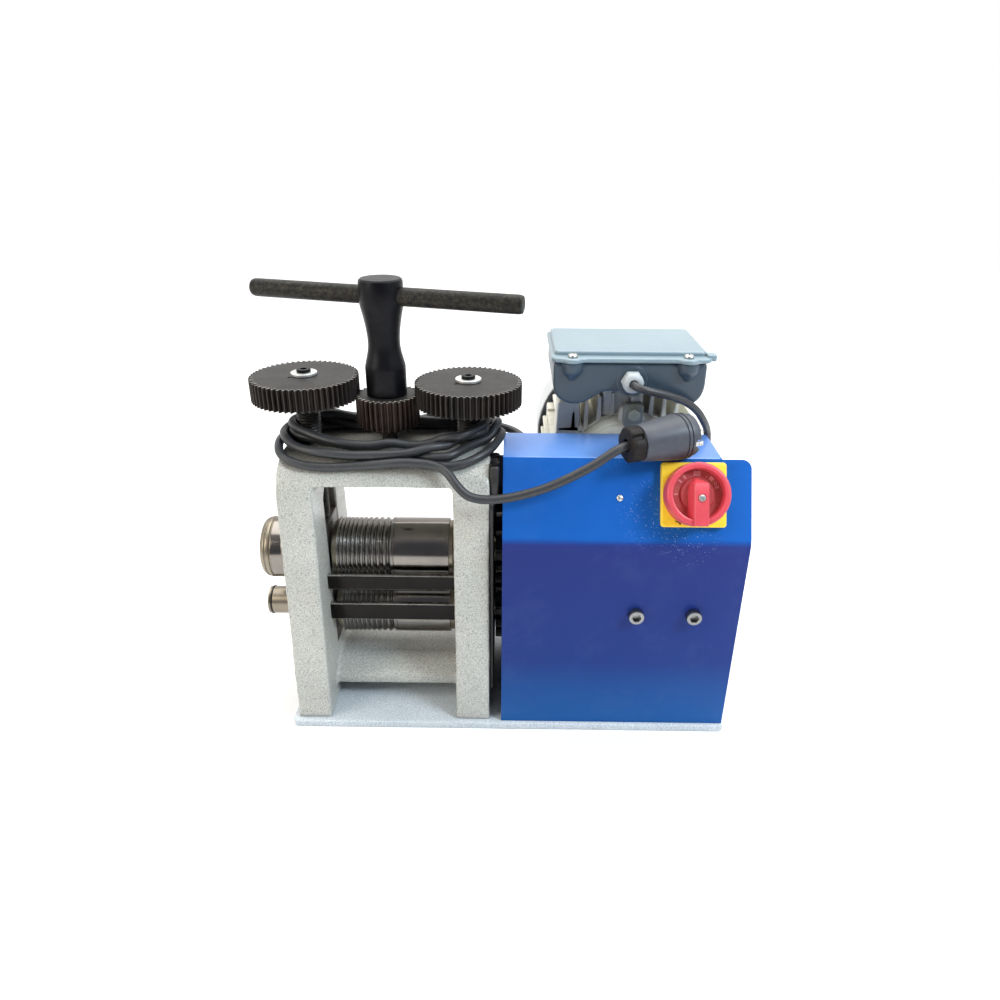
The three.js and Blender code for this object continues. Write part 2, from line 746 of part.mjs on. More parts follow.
piece(
  "fan_cowl",
  cut(
    turned(
      [
        [0, 213.3],
        [82, 213.3],
        [89.5, 206.6],
        [89.5, 158],
        [91.2, 158],
        [91.2, 207.4],
        [83, 215],
        [0, 215],
      ],
      "y",
      MOTOR_X,
      MOTOR_Z,
      32,
    ),
    ...Array.from({ length: 6 }, (_, i) =>
      solid(
        new THREE.BoxGeometry(46, 8, 9)
          .translate(47, 214, 0)
          .rotateY((i * Math.PI) / 3)
          .translate(MOTOR_X, 0, MOTOR_Z),
      ),
    ),
  ),
  COWL_GREY,
);

// Terminal and capacitor box: two rounded lobes below its ends, open on top, closed by a lid with two front lugs.
const LID_SCREWS = [178, 288];
piece(
  "terminal_box",
  cut(
    join(
      cut(
    slab(
      [
        [BOX.x0, BOX.z1],
        [BOX.x0, 338],
        [163, 329],
        [170, 322.5],
        [180, 320.5],
        [190, 321.5],
        [199, 326.5],
        [205, 332.5],
        [212, BOX.z0],
        [258, BOX.z0],
        [265, 332.5],
        [271, 326.5],
        [280, 321.5],
        [290, 320.5],
        [298, 322.5],
        [303.5, 329],
        [BOX.x1, 338],
        [BOX.x1, BOX.z1],
      ],
      "xz",
      BOX.y0,
      BOX.y1,
    ),
    slab(
      [
        [164, BOX.z1 + 1],
        [164, 339],
        [168, 330],
        [180, 324.5],
        [192, 327],
        [203, 338],
        [267, 338],
        [278, 327],
        [290, 324.5],
        [299, 330],
        [302, 339],
        [302, BOX.z1 + 1],
      ],
      "xz",
      BOX.y0 + 4,
      BOX.y1 - 4,
    ),
      ),
      ...LID_SCREWS.map((x) => rod(10.5, 353, BOX.z1, "z", x, 3, 20)),
    ),
    ...LID_SCREWS.map((x) => rod(2.8, 354.5, BOX.z1 + 2, "z", x, 3, 12)),
  ),
  BOX_GREY,
);
piece(
  "terminal_lid",
  cut(
    join(
      slab(roundRect(LID.x0, LID.x1, LID.y0, LID.y1, 8, 3), "xy", BOX.z1 + GAP, 367),
      slab(roundRect(161, 307, 9.5, 107, 5, 2), "xy", 366.5, LID.top),
      ...LID_SCREWS.map((x) => rod(11, BOX.z1 + GAP, 367, "z", x, 3, 24)),
      block(308, 315, 4, 16, 363, 369.5),
    ),
    ...LID_SCREWS.map((x) => rod(2.8, 360, 369, "z", x, 3, 12)),
  ),
  BOX_GREY,
);
LID_SCREWS.forEach((x, i) =>
  piece(
    i ? "lid_screw_right" : "lid_screw_left",
    turned(
      [
        [0, 356],
        [2.4, 356],
        [2.4, 367.3],
        [4.8, 367.3],
        [4.8, 368.6],
        [3, 370.2],
        [0, 370.6],
      ],
      "z",
      x,
      3,
      16,
    ),
    ZINC,
  ),
);
piece(
  "cable_gland",
  join(
    slab(circle(235, 345.4, 11, 6, 0), "xz", -9, -GAP),
    turned(
      [
        [0, -10],
        [9.5, -10],
        [9.5, -12],
        [7.2, -14],
        [0, -14],
      ],
      "y",
      235,
      345.4,
      20,
    ),
    rod(9.5, -10.5, -8.5, "y", 235, 345.4, 20),
  ),
  GLAND_GREY,
);

// ---------------------------------------------------------------- covers
const slope = new THREE.Vector2(COVER.topY - COVER.y, COVER.topZ - COVER.bend).normalize(); // up the sloped panel, in YZ
const slopeOut = new THREE.Vector2(-slope.y, slope.x); // out of it
const slopeTilt = Math.atan2(slope.y, slope.x);
const onSlope = placed(
  "slope_frame",
  SWITCH.x,
  COVER.y + slope.x * SWITCH.along,
  COVER.bend + slope.y * SWITCH.along,
);
onSlope.rotation.x = slopeTilt;
const RIVET = { x: 222, along: 42.1 };
const slopeSolid = (geometry, x, along) =>
  solid(
    geometry
      .rotateX(slopeTilt)
      .translate(x, COVER.y + slope.x * along, COVER.bend + slope.y * along),
  );
{
  const t = COVER.t;
  const bendShift = Math.tan(slopeTilt / 2 - Math.PI / 4) * t; // inner corner of the bend
  const sheet = slab(
    [
      [COVER.y, GAP],
      [COVER.y + t, GAP],
      [COVER.y + t, COVER.bend + bendShift],
      [COVER.topY - slopeOut.x * t, COVER.topZ - slopeOut.y * t],
      [COVER.topY, COVER.topZ],
      [COVER.y, COVER.bend],
    ],
    "yz",
    COVER.x0,
    COVER.x1,
  );
  // The sloped panel's right corner is rounded.
  const corner = slopeSolid(
    new THREE.ExtrudeGeometry(
      new THREE.Shape(
        [
          [1, -8],
          [1, 1],
          [-8, 1],
          [-8, 0],
          ...arc(-8, -8, 8, 90, 0, 4),
        ].map(([a, b]) => new THREE.Vector2(a, b)),
      ),
      { depth: 8, bevelEnabled: false },
    ).translate(0, 0, -5),
    COVER.x1,
    Math.hypot(COVER.topY - COVER.y, COVER.topZ - COVER.bend),
  );
  piece(
    "front_cover",
    cut(
      sheet,
      corner,
      slopeSolid(new THREE.BoxGeometry(47, 47, 10), SWITCH.x, SWITCH.along),
      slopeSolid(new THREE.CylinderGeometry(1.9, 1.9, 10, 12).rotateX(Math.PI / 2), RIVET.x, RIVET.along),
      ...COVER_SCREWS.map((x) => rod(5, -95, -75, "y", x, COVER_SCREW_Z, 16)),
    ),
    BLUE,
  );
}
piece(
  "cover_rivet",
  slopeSolid(
    new THREE.LatheGeometry(
      [
        [0, -5],
        [1.6, -5],
        [1.6, 0.3],
        [3.1, 0.3],
        [2.3, 1.3],
        [0, 1.6],
      ].map(([a, b]) => new THREE.Vector2(a, b)),
      16,
    ).rotateX(Math.PI / 2),
    RIVET.x,
    RIVET.along,
  ),
  ZINC,
);
COVER_SCREWS.forEach((x, i) =>
  piece(
    i ? "cover_screw_right" : "cover_screw_left",
    cut(
      turned(
        [
          [0, COVER.y - 7.5],
          [6.6, COVER.y - 7.5],
          [7.5, COVER.y - 6.6],
          [7.5, COVER.y - GAP],
          [4.3, COVER.y - GAP],
          [4.3, -62],
          [0, -62],
        ],
        "y",
        x,
        COVER_SCREW_Z,
        20,
      ),
      slab(circle(x, COVER_SCREW_Z, 4.6, 6), "xz", COVER.y - 9, COVER.y - 3.5),
    ),
    ZINC,
  ),
);
{
  const inner = [
    [-95, -5],
    [REAR.y1 - REAR.t, -5],
    [REAR.y1 - REAR.t, REAR.top - REAR.t],
    [-95, REAR.top - REAR.t],
  ];
  const bodyOutline = [
    [-83.2, GAP],
    [REAR.y1, GAP],
    [REAR.y1, REAR.top],
    [-47.2, REAR.top],
    [-83.2, 214.3],
  ];
  piece(
    "rear_cover",
    cut(
      join(
        slab(bodyOutline, "yz", COVER.x0, REAR.x1),
        block(COVER.x0, REAR.guardX, REAR.y1 - 4, REAR.guardY, GAP, REAR.guardZ),
      ),
      slab(inner, "yz", COVER.x0 - 1, REAR.x1 - REAR.t),
      block(COVER.x0 - 1, REAR.guardX - REAR.t, 0, REAR.guardY - REAR.t, -5, REAR.guardZ - REAR.t),
      rod(30.6, 10, 30, "y", MOTOR_X, MOTOR_Z, 28),
      rod(8, 10, 30, "y", 136, 262, 16),
      rod(4.8, 10, 30, "y", 312.2, 178, 12),
    ),
    BLUE,
  );
}

// Rotary switch: square plate with its body through the sloped panel, and the knob on the panel's normal.
piece(
  "switch_plate",
  join(
    slab(roundRect(-30, 30, -30, 30, 4, 3), "xy", GAP, 8),
    block(-22.5, 22.5, -22.5, 22.5, -38, 1),
  ),
  YELLOW,
  onSlope,
);
piece(
  "switch_knob",
  join(
    turned(
      [
        [0, 8.3],
        [29, 8.3],
        [29, 24.5],
        [27, 27.6],
        [25.4, 27.6],
        [23.5, 25.8],
        [23.5, 13],
        [0, 13],
      ],
      "z",
      0,
      0,
      30,
    ),
    slab(
      [
        [-6.5, -23.8],
        [6.5, -23.8],
        [6.5, 22],
        [-6.5, 22],
      ],
      "xy",
      12,
      25,
    ),
  ),
  RED,
  onSlope,
);

// ---------------------------------------------------------------- adjustment
const wheelBlank = geometryOf(
  slab(gearOutline(ADJ_MODULE, ADJ_WHEEL_TEETH, { thin: 0.06 }), "xy", 0, ADJ_WHEEL_T, [circle(0, 0, 8.3, 20)]),
);
const pinionOutline = gearOutline(ADJ_MODULE, ADJ_PINION_TEETH, { thin: 0.06 });
for (const [side, x, top, turn] of [
  ["left", -SCREW_X, LEFT_GEAR_TOP, 180 / ADJ_WHEEL_TEETH],
  ["right", SCREW_X, RIGHT_GEAR_TOP, 180],
]) {
  const axis = placed(side + "_screw_axis", x, 0, 0);
  piece(
    side + "_screw",
    turned(
      [
        [0, 196.3],
        [10, 196.3],
        [SCREW_R, 198.5],
        [SCREW_R, top - ADJ_WHEEL_T - GAP],
        [8, top - ADJ_WHEEL_T - GAP],
        [8, top - 0.5],
        [3.3, top - 0.5],
        [3.3, top - 14],
        [0, top - 14],
      ],
      "z",
      0,
      0,
      20,
    ),
    BLACK_OXIDE,
    axis,
  );
  const gear = piece(side + "_gear", wheelBlank, BLACK_OXIDE, axis);
  gear.position.z = top - ADJ_WHEEL_T;
  gear.rotation.z = rad(turn);
  piece(
    side + "_gear_washer",
    turned(
      [
        [3.5, top + GAP],
        [12.5, top + GAP],
        [12.5, top + 2.8],
        [3.5, top + 2.8],
        [3.5, top + GAP],
      ],
      "z",
      0,
      0,
      22,
    ),
    ZINC,
    axis,
  );
  piece(
    side + "_gear_bolt",
    cut(
      turned(
        [
          [0, top - 12],
          [3, top - 12],
          [3, top + 3.1],
          [6.75, top + 3.1],
          [6.75, top + 5.2],
          [6.1, top + 5.8],
          [0, top + 5.8],
        ],
        "z",
        0,
        0,
        20,
      ),
      slab(circle(0, 0, 3.4, 6), "xy", top + 3.8, top + 9),
    ),
    DARK_PLATE,
    axis,
  );
}
const handle = placed("handle", 0, 0, 0);
piece(
  "spindle",
  turned(
    [
      [0, 262.5],
      [6.5, 262.5],
      [7.5, 263.5],
      [7.5, 352],
      [0, 352],
    ],
    "z",
    0,
    0,
    20,
  ),
  BLACK_OXIDE,
  handle,
);
piece("pinion", slab(pinionOutline, "xy", PINION_BOTTOM, PINION_TOP, [circle(0, 0, 7.8, 20)]), BLACK_OXIDE, handle).rotation.z =
  rad(180);
const bar = solid(
  new THREE.CylinderGeometry(BAR_R + GAP, BAR_R + GAP, 60, 24).rotateZ(Math.PI / 2).rotateZ(rad(BAR_TURN)).translate(0, 0, BAR_Z),
);
piece(
  "handle_hub",
  cut(
    turned(
      [
        [0, PINION_TOP + GAP],
        [19.3, PINION_TOP + GAP],
        [19.3, 356.5],
        [18.6, 361],
        [15, 380],
        [17.6, 402],
        [20.35, 417],
        [20.35, 436.6],
        [18, 439.2],
        [0, 439.2],
      ],
      "z",
      0,
      0,
      22,
    ),
    rod(7.8, 320, 352.4, "z", 0, 0, 20),
    bar,
  ),
  BLACK_OXIDE,
  handle,
);
const handleBar = piece(
  "handle_bar",
  turned(
    [
      [0, -BAR_LENGTH / 2],
      [BAR_R - 1.5, -BAR_LENGTH / 2],
      [BAR_R, -BAR_LENGTH / 2 + 1.5],
      [BAR_R, BAR_LENGTH / 2 - 1.5],
      [BAR_R - 1.5, BAR_LENGTH / 2],
      [0, BAR_LENGTH / 2],
    ],
    "x",
    0,
    0,
    24,
  ),
  BLACK_OXIDE,
  handle,
);
handleBar.position.z = BAR_Z;
handleBar.rotation.z = rad(BAR_TURN);

// ---------------------------------------------------------------- cables
piece(
  "motor_lead",
  cable(
    [
      [235, -14.8, 345.4],
      [235.6, -19, 345.2],
      [241, -22.5, 344],
      [250, -21.8, 341.4],
      [264.5, -18, 337],
      [284.1, -11, 329],
      [298, -5, 318.6],
      [310, 6, 303],
      [319.6, 24.4, 285],
      [323, 28.5, 262],
      [324, 30, 236],
      [322, 31.5, 212],
      [317.5, 31, 192],
      [313.4, 27, 181],
      [312.2, 21, 178.1],
      [312.2, 14, 178],
    ],
    LEAD_R,
    22,
    8,
  ),
  RUBBER,
);
piece(
  "mains_gland",
  join(slab(circle(136, 262, 10, 6), "xz", REAR.y1 + GAP, REAR.y1 + 8), rod(8, REAR.y1 + 7, 34, "y", 136, 262, 16), rod(7.5, 12, 21, "y", 136, 262, 16)),
  GLAND_GREY,
);
piece(
  "mains_cord_tail",
  cable(
    [
      [136, 34.3, 262],
      [136, 44, 262.2],
      [133.5, 57, 263.8],
      [126, 67.5, 266.4],
      [114, 73, 269.4],
      [98, 71.5, 273.8],
      [82, 64, 279.5],
      [66, 55.5, 284.5],
      [52, 51.6, 287],
      [38, 50.8, 287.6],
    ],
    CORD_R,
    14,
    8,
  ),
  RUBBER,
);
// Outer shape of the four turns laid round the screws, sagging over the casting's front shoulder.
piece(
  "mains_cord_winding",
  cut(
    slab(
      [
        ...arc(74, 0, 46, -50, 90, 6),
        ...arc(-70, 2, 44, 90, 220, 6),
        [-75, -60],
        [78, -60],
      ],
      "xy",
      268,
      299.2,
      [[...arc(84, 2, 17, -90, 90, 6), ...arc(-82, 2, 17, 90, 270, 6)]],
    ),
    slab(castingOutline(0.4), "yz", -CHEEK_OUT - 0.4, CHEEK_OUT + 0.4),
    block(-130, -CHEEK_OUT, -70, 60, 260, 276),
    block(CHEEK_OUT, 130, -70, 60, 260, FRAME_TOP + GAP),
    block(COVER.x0 - 0.5, 130, -70, 60, 260, REAR.top + 0.8),
  ),
  RUBBER,
);
const PLUG_FROM = new THREE.Vector3(230, -64, 305);
const PLUG_TO = new THREE.Vector3(293, -40, 307.6);
const plugAxis = PLUG_TO.clone().sub(PLUG_FROM).normalize();
const plug = placed("plug", ...PLUG_FROM.toArray());
plug.quaternion.setFromUnitVectors(new THREE.Vector3(0, 0, 1), plugAxis);
piece(
  "plug_collar",
  turned(
    [
      [0, 1.5],
      [7.5, 1.5],
      [7.5, -4.5],
      [15.5, -4.5],
      [17, -3],
      [17, 4.5],
      [0, 4.5],
    ],
    "z",
    0,
    0,
    16,
  ),
  COLLAR_BROWN,
  plug,
);
piece(
  "plug_body",
  turned(
    [
      [0, 4.8],
      [16.8, 4.8],
      [17.6, 12],
      [21.4, 48],
      [21.4, 54],
      [20.2, 55],
      [20.2, 57],
      [21, 58],
      [21, 65],
      [19.5, 67.2],
      [0, 67.2],
    ],
    "z",
    0,
    0,
    22,
  ),
  RUBBER,
  plug,
);
const cordEnd = PLUG_FROM.clone().addScaledVector(plugAxis, -0.4);
piece(
  "mains_cord_free",
  cable(
    [
      [62, -61, 281.5],
      [62.4, -66.5, 280.6],
      [66.5, -73.5, 275],
      [72.5, -78, 266],
      [80.5, -79.8, 259.6],
      [92.3, -80.4, 256.4],
      [113.3, -80.4, 257.2],
      [134, -79.4, 261.6],
      [155, -78, 268.4],
      [175, -77, 278],
      [195.7, -74.6, 289.2],
      [213, -69.9, 300.1],
      [222.2, -66.9, 303.8],
      cordEnd.toArray(),
    ],
    CORD_R,
    22,
    8,
  ),
  RUBBER,
);

// ---------------------------------------------------------------- the whole machine, base plate's underside on Z = 0
mill.position.set(-(LEFT_END + BASE.x1) / 2, -(FRONT_END + BASE.y1) / 2, BASE.t);
const machine = new THREE.Group();
machine.name = "jewellers_rolling_mill";
machine.add(mill);

export default machine;
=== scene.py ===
"""Jewellers rolling mill with a motor drive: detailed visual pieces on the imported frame."""
import math
import random

import bmesh
import bpy
from mathutils import Matrix, Vector


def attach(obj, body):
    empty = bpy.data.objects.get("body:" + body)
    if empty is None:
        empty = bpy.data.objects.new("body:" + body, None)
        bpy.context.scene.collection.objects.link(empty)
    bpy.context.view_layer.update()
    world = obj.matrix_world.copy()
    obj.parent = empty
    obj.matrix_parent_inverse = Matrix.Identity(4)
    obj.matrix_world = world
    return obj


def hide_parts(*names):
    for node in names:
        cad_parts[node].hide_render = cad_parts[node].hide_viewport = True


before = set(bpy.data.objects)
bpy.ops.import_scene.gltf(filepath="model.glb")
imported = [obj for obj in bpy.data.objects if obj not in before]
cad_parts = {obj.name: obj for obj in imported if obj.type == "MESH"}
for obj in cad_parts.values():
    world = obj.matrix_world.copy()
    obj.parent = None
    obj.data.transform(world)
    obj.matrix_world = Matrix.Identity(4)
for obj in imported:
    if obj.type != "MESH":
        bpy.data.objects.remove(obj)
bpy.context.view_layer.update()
scene = bpy.context.scene
random.seed(7)

# Everything below is written in millimetres, with the origin on the base plate's top face, midway between the cheeks,
# on the screw axes; W() turns a point into the shared frame.
MM = 0.001
OFF = Vector((-0.102, -0.0613, 0.008))


def W(p):
    return Vector(p) * MM + OFF


def rad(d):
    return math.radians(d)


# ---------------------------------------------------------------- camera
def aim_camera():
    yaw, pitch, roll, focal = -0.0109, 0.4496, 0.0055, 754.28
    fwd = Vector((math.sin(yaw) * math.cos(pitch), math.cos(yaw) * math.cos(pitch), -math.sin(pitch)))
    right = Vector((math.cos(yaw), -math.sin(yaw), 0))
    up = right.cross(fwd)
    r = right * math.cos(roll) + up * math.sin(roll)
    u = -right * math.sin(roll) + up * math.cos(roll)
    cam = bpy.data.cameras.new("camera")
    cam.sensor_fit = "HORIZONTAL"
    cam.sensor_width = 36
    cam.lens = focal / 1000 * 36
    cam.clip_start = 0.05
    cam.clip_end = 50
    ob = bpy.data.objects.new("camera", cam)
    scene.collection.objects.link(ob)
    m = Matrix((r, u, -fwd)).transposed().to_4x4()
    m.translation = W((117.35, -700.68, 555.23))
    ob.matrix_world = m
    scene.camera = ob


aim_camera()


# ---------------------------------------------------------------- materials
class Look:
    """A principled material whose colour, roughness and bump come from nodes."""

    def __init__(self, name, base, rough, metal=0.0, **more):
        self.m = bpy.data.materials.new(name)
        self.m.use_nodes = True
        self.nt = self.m.node_tree
        self.b = self.nt.nodes["Principled BSDF"]
        self.b.inputs["Base Color"].default_value = (*base, 1)
        self.b.inputs["Roughness"].default_value = rough
        self.b.inputs["Metallic"].default_value = metal
        for k, v in more.items():
            self.b.inputs[k.replace("_", " ")].default_value = v
        self.m.diffuse_color = (*base, 1)
        self.obj = self.nt.nodes.new("ShaderNodeTexCoord").outputs["Object"]
        self.last_bump = None

    def node(self, kind, **props):
        n = self.nt.nodes.new(kind)
        for k, v in props.items():
            setattr(n, k, v)
        return n

    def put(self, socket, value):
        if isinstance(value, bpy.types.NodeSocket):
            self.nt.links.new(value, socket)
        elif isinstance(value, (tuple, list)):
            socket.default_value = tuple(value) if len(value) != 3 or socket.type == "VECTOR" else (*value, 1)
        else:
            socket.default_value = value

    def vec(self, scale=(1, 1, 1), shift=(0, 0, 0), turn=(0, 0, 0)):
        n = self.node("ShaderNodeMapping")
        self.nt.links.new(self.obj, n.inputs["Vector"])
        n.inputs["Scale"].default_value = scale
        n.inputs["Location"].default_value = shift
        n.inputs["Rotation"].default_value = turn
        return n.outputs[0]

    def noise(self, scale, detail=3, rough=0.55, vec=None, warp=0.0):
        n = self.node("ShaderNodeTexNoise")
        self.nt.links.new(vec or self.obj, n.inputs["Vector"])
        n.inputs["Scale"].default_value = scale
        n.inputs["Detail"].default_value = detail
        n.inputs["Roughness"].default_value = rough
        n.inputs["Distortion"].default_value = warp
        return n.outputs["Fac"]

    def cells(self, scale, feature="F1", vec=None, rand=1.0):
        n = self.node("ShaderNodeTexVoronoi", feature=feature)
        self.nt.links.new(vec or self.obj, n.inputs["Vector"])
        n.inputs["Scale"].default_value = scale
        n.inputs["Randomness"].default_value = rand
        return n.outputs["Distance"]

    def ramp(self, fac, *stops):
        n = self.node("ShaderNodeValToRGB")
        self.nt.links.new(fac, n.inputs[0])
        e = n.color_ramp.elements
        while len(e) < len(stops):
            e.new(0.5)
        for el, (pos, col) in zip(e, stops):
            el.position = pos
            el.color = (*col, 1) if isinstance(col, (tuple, list)) else (col, col, col, 1)
        return n.outputs[0]

    def math(self, op, a, b=0.0, clamp=False):
        n = self.node("ShaderNodeMath", operation=op, use_clamp=clamp)
        self.put(n.inputs[0], a)
        self.put(n.inputs[1], b)
        return n.outputs[0]

    def mix(self, fac, a, b, mode="MIX"):
        n = self.node("ShaderNodeMix", data_type="RGBA", blend_type=mode)
        self.put(n.inputs[0], fac)
        self.put(n.inputs[6], a)
        self.put(n.inputs[7], b)
        return n.outputs[2]

    def near(self, point, radius):
        """1 at a point, falling to 0 at the radius (mm)."""
        n = self.node("ShaderNodeVectorMath", operation="DISTANCE")
        self.nt.links.new(self.obj, n.inputs[0])
        n.inputs[1].default_value = W(point)
        return self.ramp(self.math("DIVIDE", n.outputs["Value"], radius * MM), (0.0, 1.0), (1.0, 0.0))

    def along(self, axis):
        n = self.node("ShaderNodeSeparateXYZ")
        self.nt.links.new(self.obj, n.inputs[0])
        return n.outputs["XYZ".index(axis)]

    def round_axis(self, axis, a, b):
        """Distance from an axis through (a, b) mm."""
        loc = {"X": (0, a, b), "Y": (a, 0, b), "Z": (a, b, 0)}[axis]
        keep = {"X": (0, 1, 1), "Y": (1, 0, 1), "Z": (1, 1, 0)}[axis]
        n = self.node("ShaderNodeVectorMath", operation="SUBTRACT")
        self.nt.links.new(self.obj, n.inputs[0])
        n.inputs[1].default_value = W(loc)
        m = self.node("ShaderNodeVectorMath", operation="MULTIPLY")
        self.nt.links.new(n.outputs[0], m.inputs[0])
        m.inputs[1].default_value = keep
        q = self.node("ShaderNodeVectorMath", operation="LENGTH")
        self.nt.links.new(m.outputs[0], q.inputs[0])
        return q.outputs["Value"]

    def colour(self, socket):
        self.nt.links.new(socket, self.b.inputs["Base Color"])

    def rough(self, fac, lo, hi):
        n = self.node("ShaderNodeMapRange")
        self.nt.links.new(fac, n.inputs["Value"])
        n.inputs["To Min"].default_value = lo
        n.inputs["To Max"].default_value = hi
        self.nt.links.new(n.outputs["Result"], self.b.inputs["Roughness"])

    def bump(self, height, strength=0.3, dist=0.3):
        n = self.node("ShaderNodeBump")
        n.inputs["Strength"].default_value = strength
        n.inputs["Distance"].default_value = dist * MM
        self.nt.links.new(height, n.inputs["Height"])
        if self.last_bump:
            self.nt.links.new(self.last_bump, n.inputs["Normal"])
        self.last_bump = n.outputs[0]
        self.nt.links.new(n.outputs[0], self.b.inputs["Normal"])


def hammertone(name, light, dark, stain):
    k = Look(name, light, 0.42, 0.05, Coat_Weight=0.25, Coat_Roughness=0.25)
    speck = k.ramp(k.noise(860, 4, 0.76), (0.41, 1.0), (0.50, 0.0))
    veins = k.ramp(k.cells(330, "DISTANCE_TO_EDGE"), (0.0, 1.0), (0.16, 0.0))
    mask = k.math("MULTIPLY", k.math("MAXIMUM", speck, k.math("MULTIPLY", veins, 0.35)), 0.78)
    tone = k.ramp(k.noise(16, 3), (0.3, tuple(c * 0.88 for c in light)), (0.7, light))
    col = k.mix(mask, tone, dark)
    dirt = k.ramp(k.noise(9, 5, 0.7), (0.56, 0.0), (0.78, 1.0))
    k.colour(k.mix(k.math("MULTIPLY", dirt, 0.28), col, stain))
    k.rough(k.noise(120, 3), 0.3, 0.55)
    k.bump(k.cells(330, "SMOOTH_F1"), 0.35, 0.5)
    k.bump(k.noise(42, 2), 0.25, 0.8)
    return k.m


CASTING = hammertone("casting_hammertone", (0.55, 0.55, 0.50), (0.13, 0.13, 0.12), (0.45, 0.38, 0.22))
PLATE = hammertone("plate_hammertone", (0.68, 0.72, 0.75), (0.20, 0.26, 0.30), (0.42, 0.38, 0.3))


def metal(name, base, lo, hi, axis=None, fine=0.25, metalness=1.0, tone=0.75, dirt=None):
    """Machined metal with tool lines across an axis (rings round it) and a slight change of tone."""
    k = Look(name, base, lo, metalness)
    scale = {"X": (1, 0.004, 0.004), "Y": (0.004, 1, 0.004), "Z": (0.004, 0.004, 1), None: (1, 1, 1)}[axis]
    lines = k.noise(2600 if axis else 900, 3, 0.7, k.vec(scale))
    blotch = k.noise(28, 4, 0.65)
    dark = tuple(c * tone for c in base)
    col = k.ramp(blotch, (0.3, dark), (0.7, base))
    col = k.mix(k.math("MULTIPLY", k.ramp(lines, (0.35, 1.0), (0.6, 0.0)), 0.35), col, tuple(c * 0.6 for c in base))
    if dirt:
        spots = k.ramp(k.noise(160, 5, 0.75), (0.60, 0.0), (0.72, 1.0))
        col = k.mix(k.math("MULTIPLY", spots, 0.5), col, dirt)
    k.colour(col)
    k.rough(k.mix(0.5, lines, blotch), lo, hi)
    k.bump(lines, fine, 0.05)
    return k.m


ROLL_STEEL = metal("roll_steel", (0.27, 0.245, 0.22), 0.10, 0.22, "X", 0.3)
GROOVE_STEEL = metal("groove_steel", (0.24, 0.225, 0.21), 0.16, 0.34, "X", 0.3)
SHAFT_STEEL = metal("shaft_steel", (0.31, 0.27, 0.21), 0.24, 0.42, "X", 0.35, dirt=(0.14, 0.105, 0.07))
BAR_STEEL = metal("bar_steel", (0.022, 0.020, 0.019), 0.16, 0.34, "Y", 0.2)
# Pale metal for the guide bars' edges: painted highlight lines.
EDGE_GLINT_STEEL = metal("edge_glint_steel", (0.52, 0.49, 0.45), 0.2, 0.36, None, 0.2)
ZINC = metal("zinc_plate", (0.66, 0.66, 0.63), 0.28, 0.46, None, 0.2)
WASHER = metal("washer_zinc", (0.80, 0.80, 0.77), 0.34, 0.5, "Z", 0.2, 0.75)
SCREW_STEEL = metal("screw_steel", (0.33, 0.33, 0.32), 0.26, 0.42, None, 0.2)
BRONZE = metal("bronze", (0.46, 0.26, 0.10), 0.3, 0.5, None, 0.3)
BLOCK_IRON = metal("block_iron", (0.14, 0.125, 0.115), 0.35, 0.6, None, 0.5, 0.8, dirt=(0.05, 0.04, 0.03))


def oxide(name, base, warm, lo=0.34, hi=0.56, grain=0.25, axis=None, spec=0.5):
    """Blackened steel: nearly black, with brown bloom, fine grain and small rubbed places."""
    k = Look(name, base, lo, 0.55, Specular_IOR_Level=spec)
    bloom = k.ramp(k.noise(34, 5, 0.7), (0.35, base), (0.75, warm))
    rub = k.ramp(k.noise(300, 4, 0.75), (0.62, 0.0), (0.78, 1.0))
    k.colour(k.mix(k.math("MULTIPLY", rub, 0.35), bloom, tuple(min(1, 3.2 * c) for c in warm)))
    k.rough(k.noise(60, 4, 0.7), lo, hi)
    if axis:
        k.bump(k.noise(1500, 2, 0.6, k.vec({"Z": (0.004, 0.004, 1), "X": (1, 0.004, 0.004)}[axis])), grain, 0.12)
    k.bump(k.noise(900, 3, 0.7), grain, 0.15)
    return k.m


OXIDE = oxide("black_oxide", (0.006, 0.006, 0.008), (0.013, 0.012, 0.013), 0.28, 0.48, axis="Z", spec=0.2)
GEAR_TOP = oxide("gear_face", (0.022, 0.020, 0.019), (0.040, 0.036, 0.032), 0.4, 0.6)
GEAR_DARK = oxide("gear_flank", (0.012, 0.009, 0.008), (0.030, 0.020, 0.015), 0.42, 0.65)
GEAR_LAND = metal("gear_tip_land", (0.062, 0.055, 0.048), 0.34, 0.55, "Z", 0.3, 0.8)
# Pale metal on the teeth's top chamfers: partly wear, partly a painted highlight on the tooth tips.
GEAR_EDGE_GLINT = metal("gear_worn_edge_and_glint", (0.42, 0.40, 0.37), 0.28, 0.45, None, 0.2, 0.9)
THREAD = oxide("thread_oxide", (0.020, 0.019, 0.018), (0.05, 0.045, 0.04))
PINION_DARK = oxide("pinion_flank", (0.022, 0.013, 0.010), (0.055, 0.030, 0.022), 0.42, 0.62)


def rolled_bar():
    k = Look("handle_bar_steel", (0.02, 0.019, 0.018), 0.45, 0.45, Specular_IOR_Level=0.25)
    pits = k.cells(420, "F1")
    fine = k.noise(700, 5, 0.75)
    scale_ = k.ramp(k.noise(240, 5, 0.8), (0.42, (0.010, 0.010, 0.010)), (0.70, (0.050, 0.044, 0.032)))
    k.colour(k.mix(k.ramp(pits, (0.1, 0.7), (0.45, 0.0)), scale_, (0.012, 0.011, 0.011)))
    k.rough(fine, 0.36, 0.62)
    k.bump(pits, 0.5, 0.25)
    k.bump(fine, 0.35, 0.15)
    return k.m


BAR = rolled_bar()


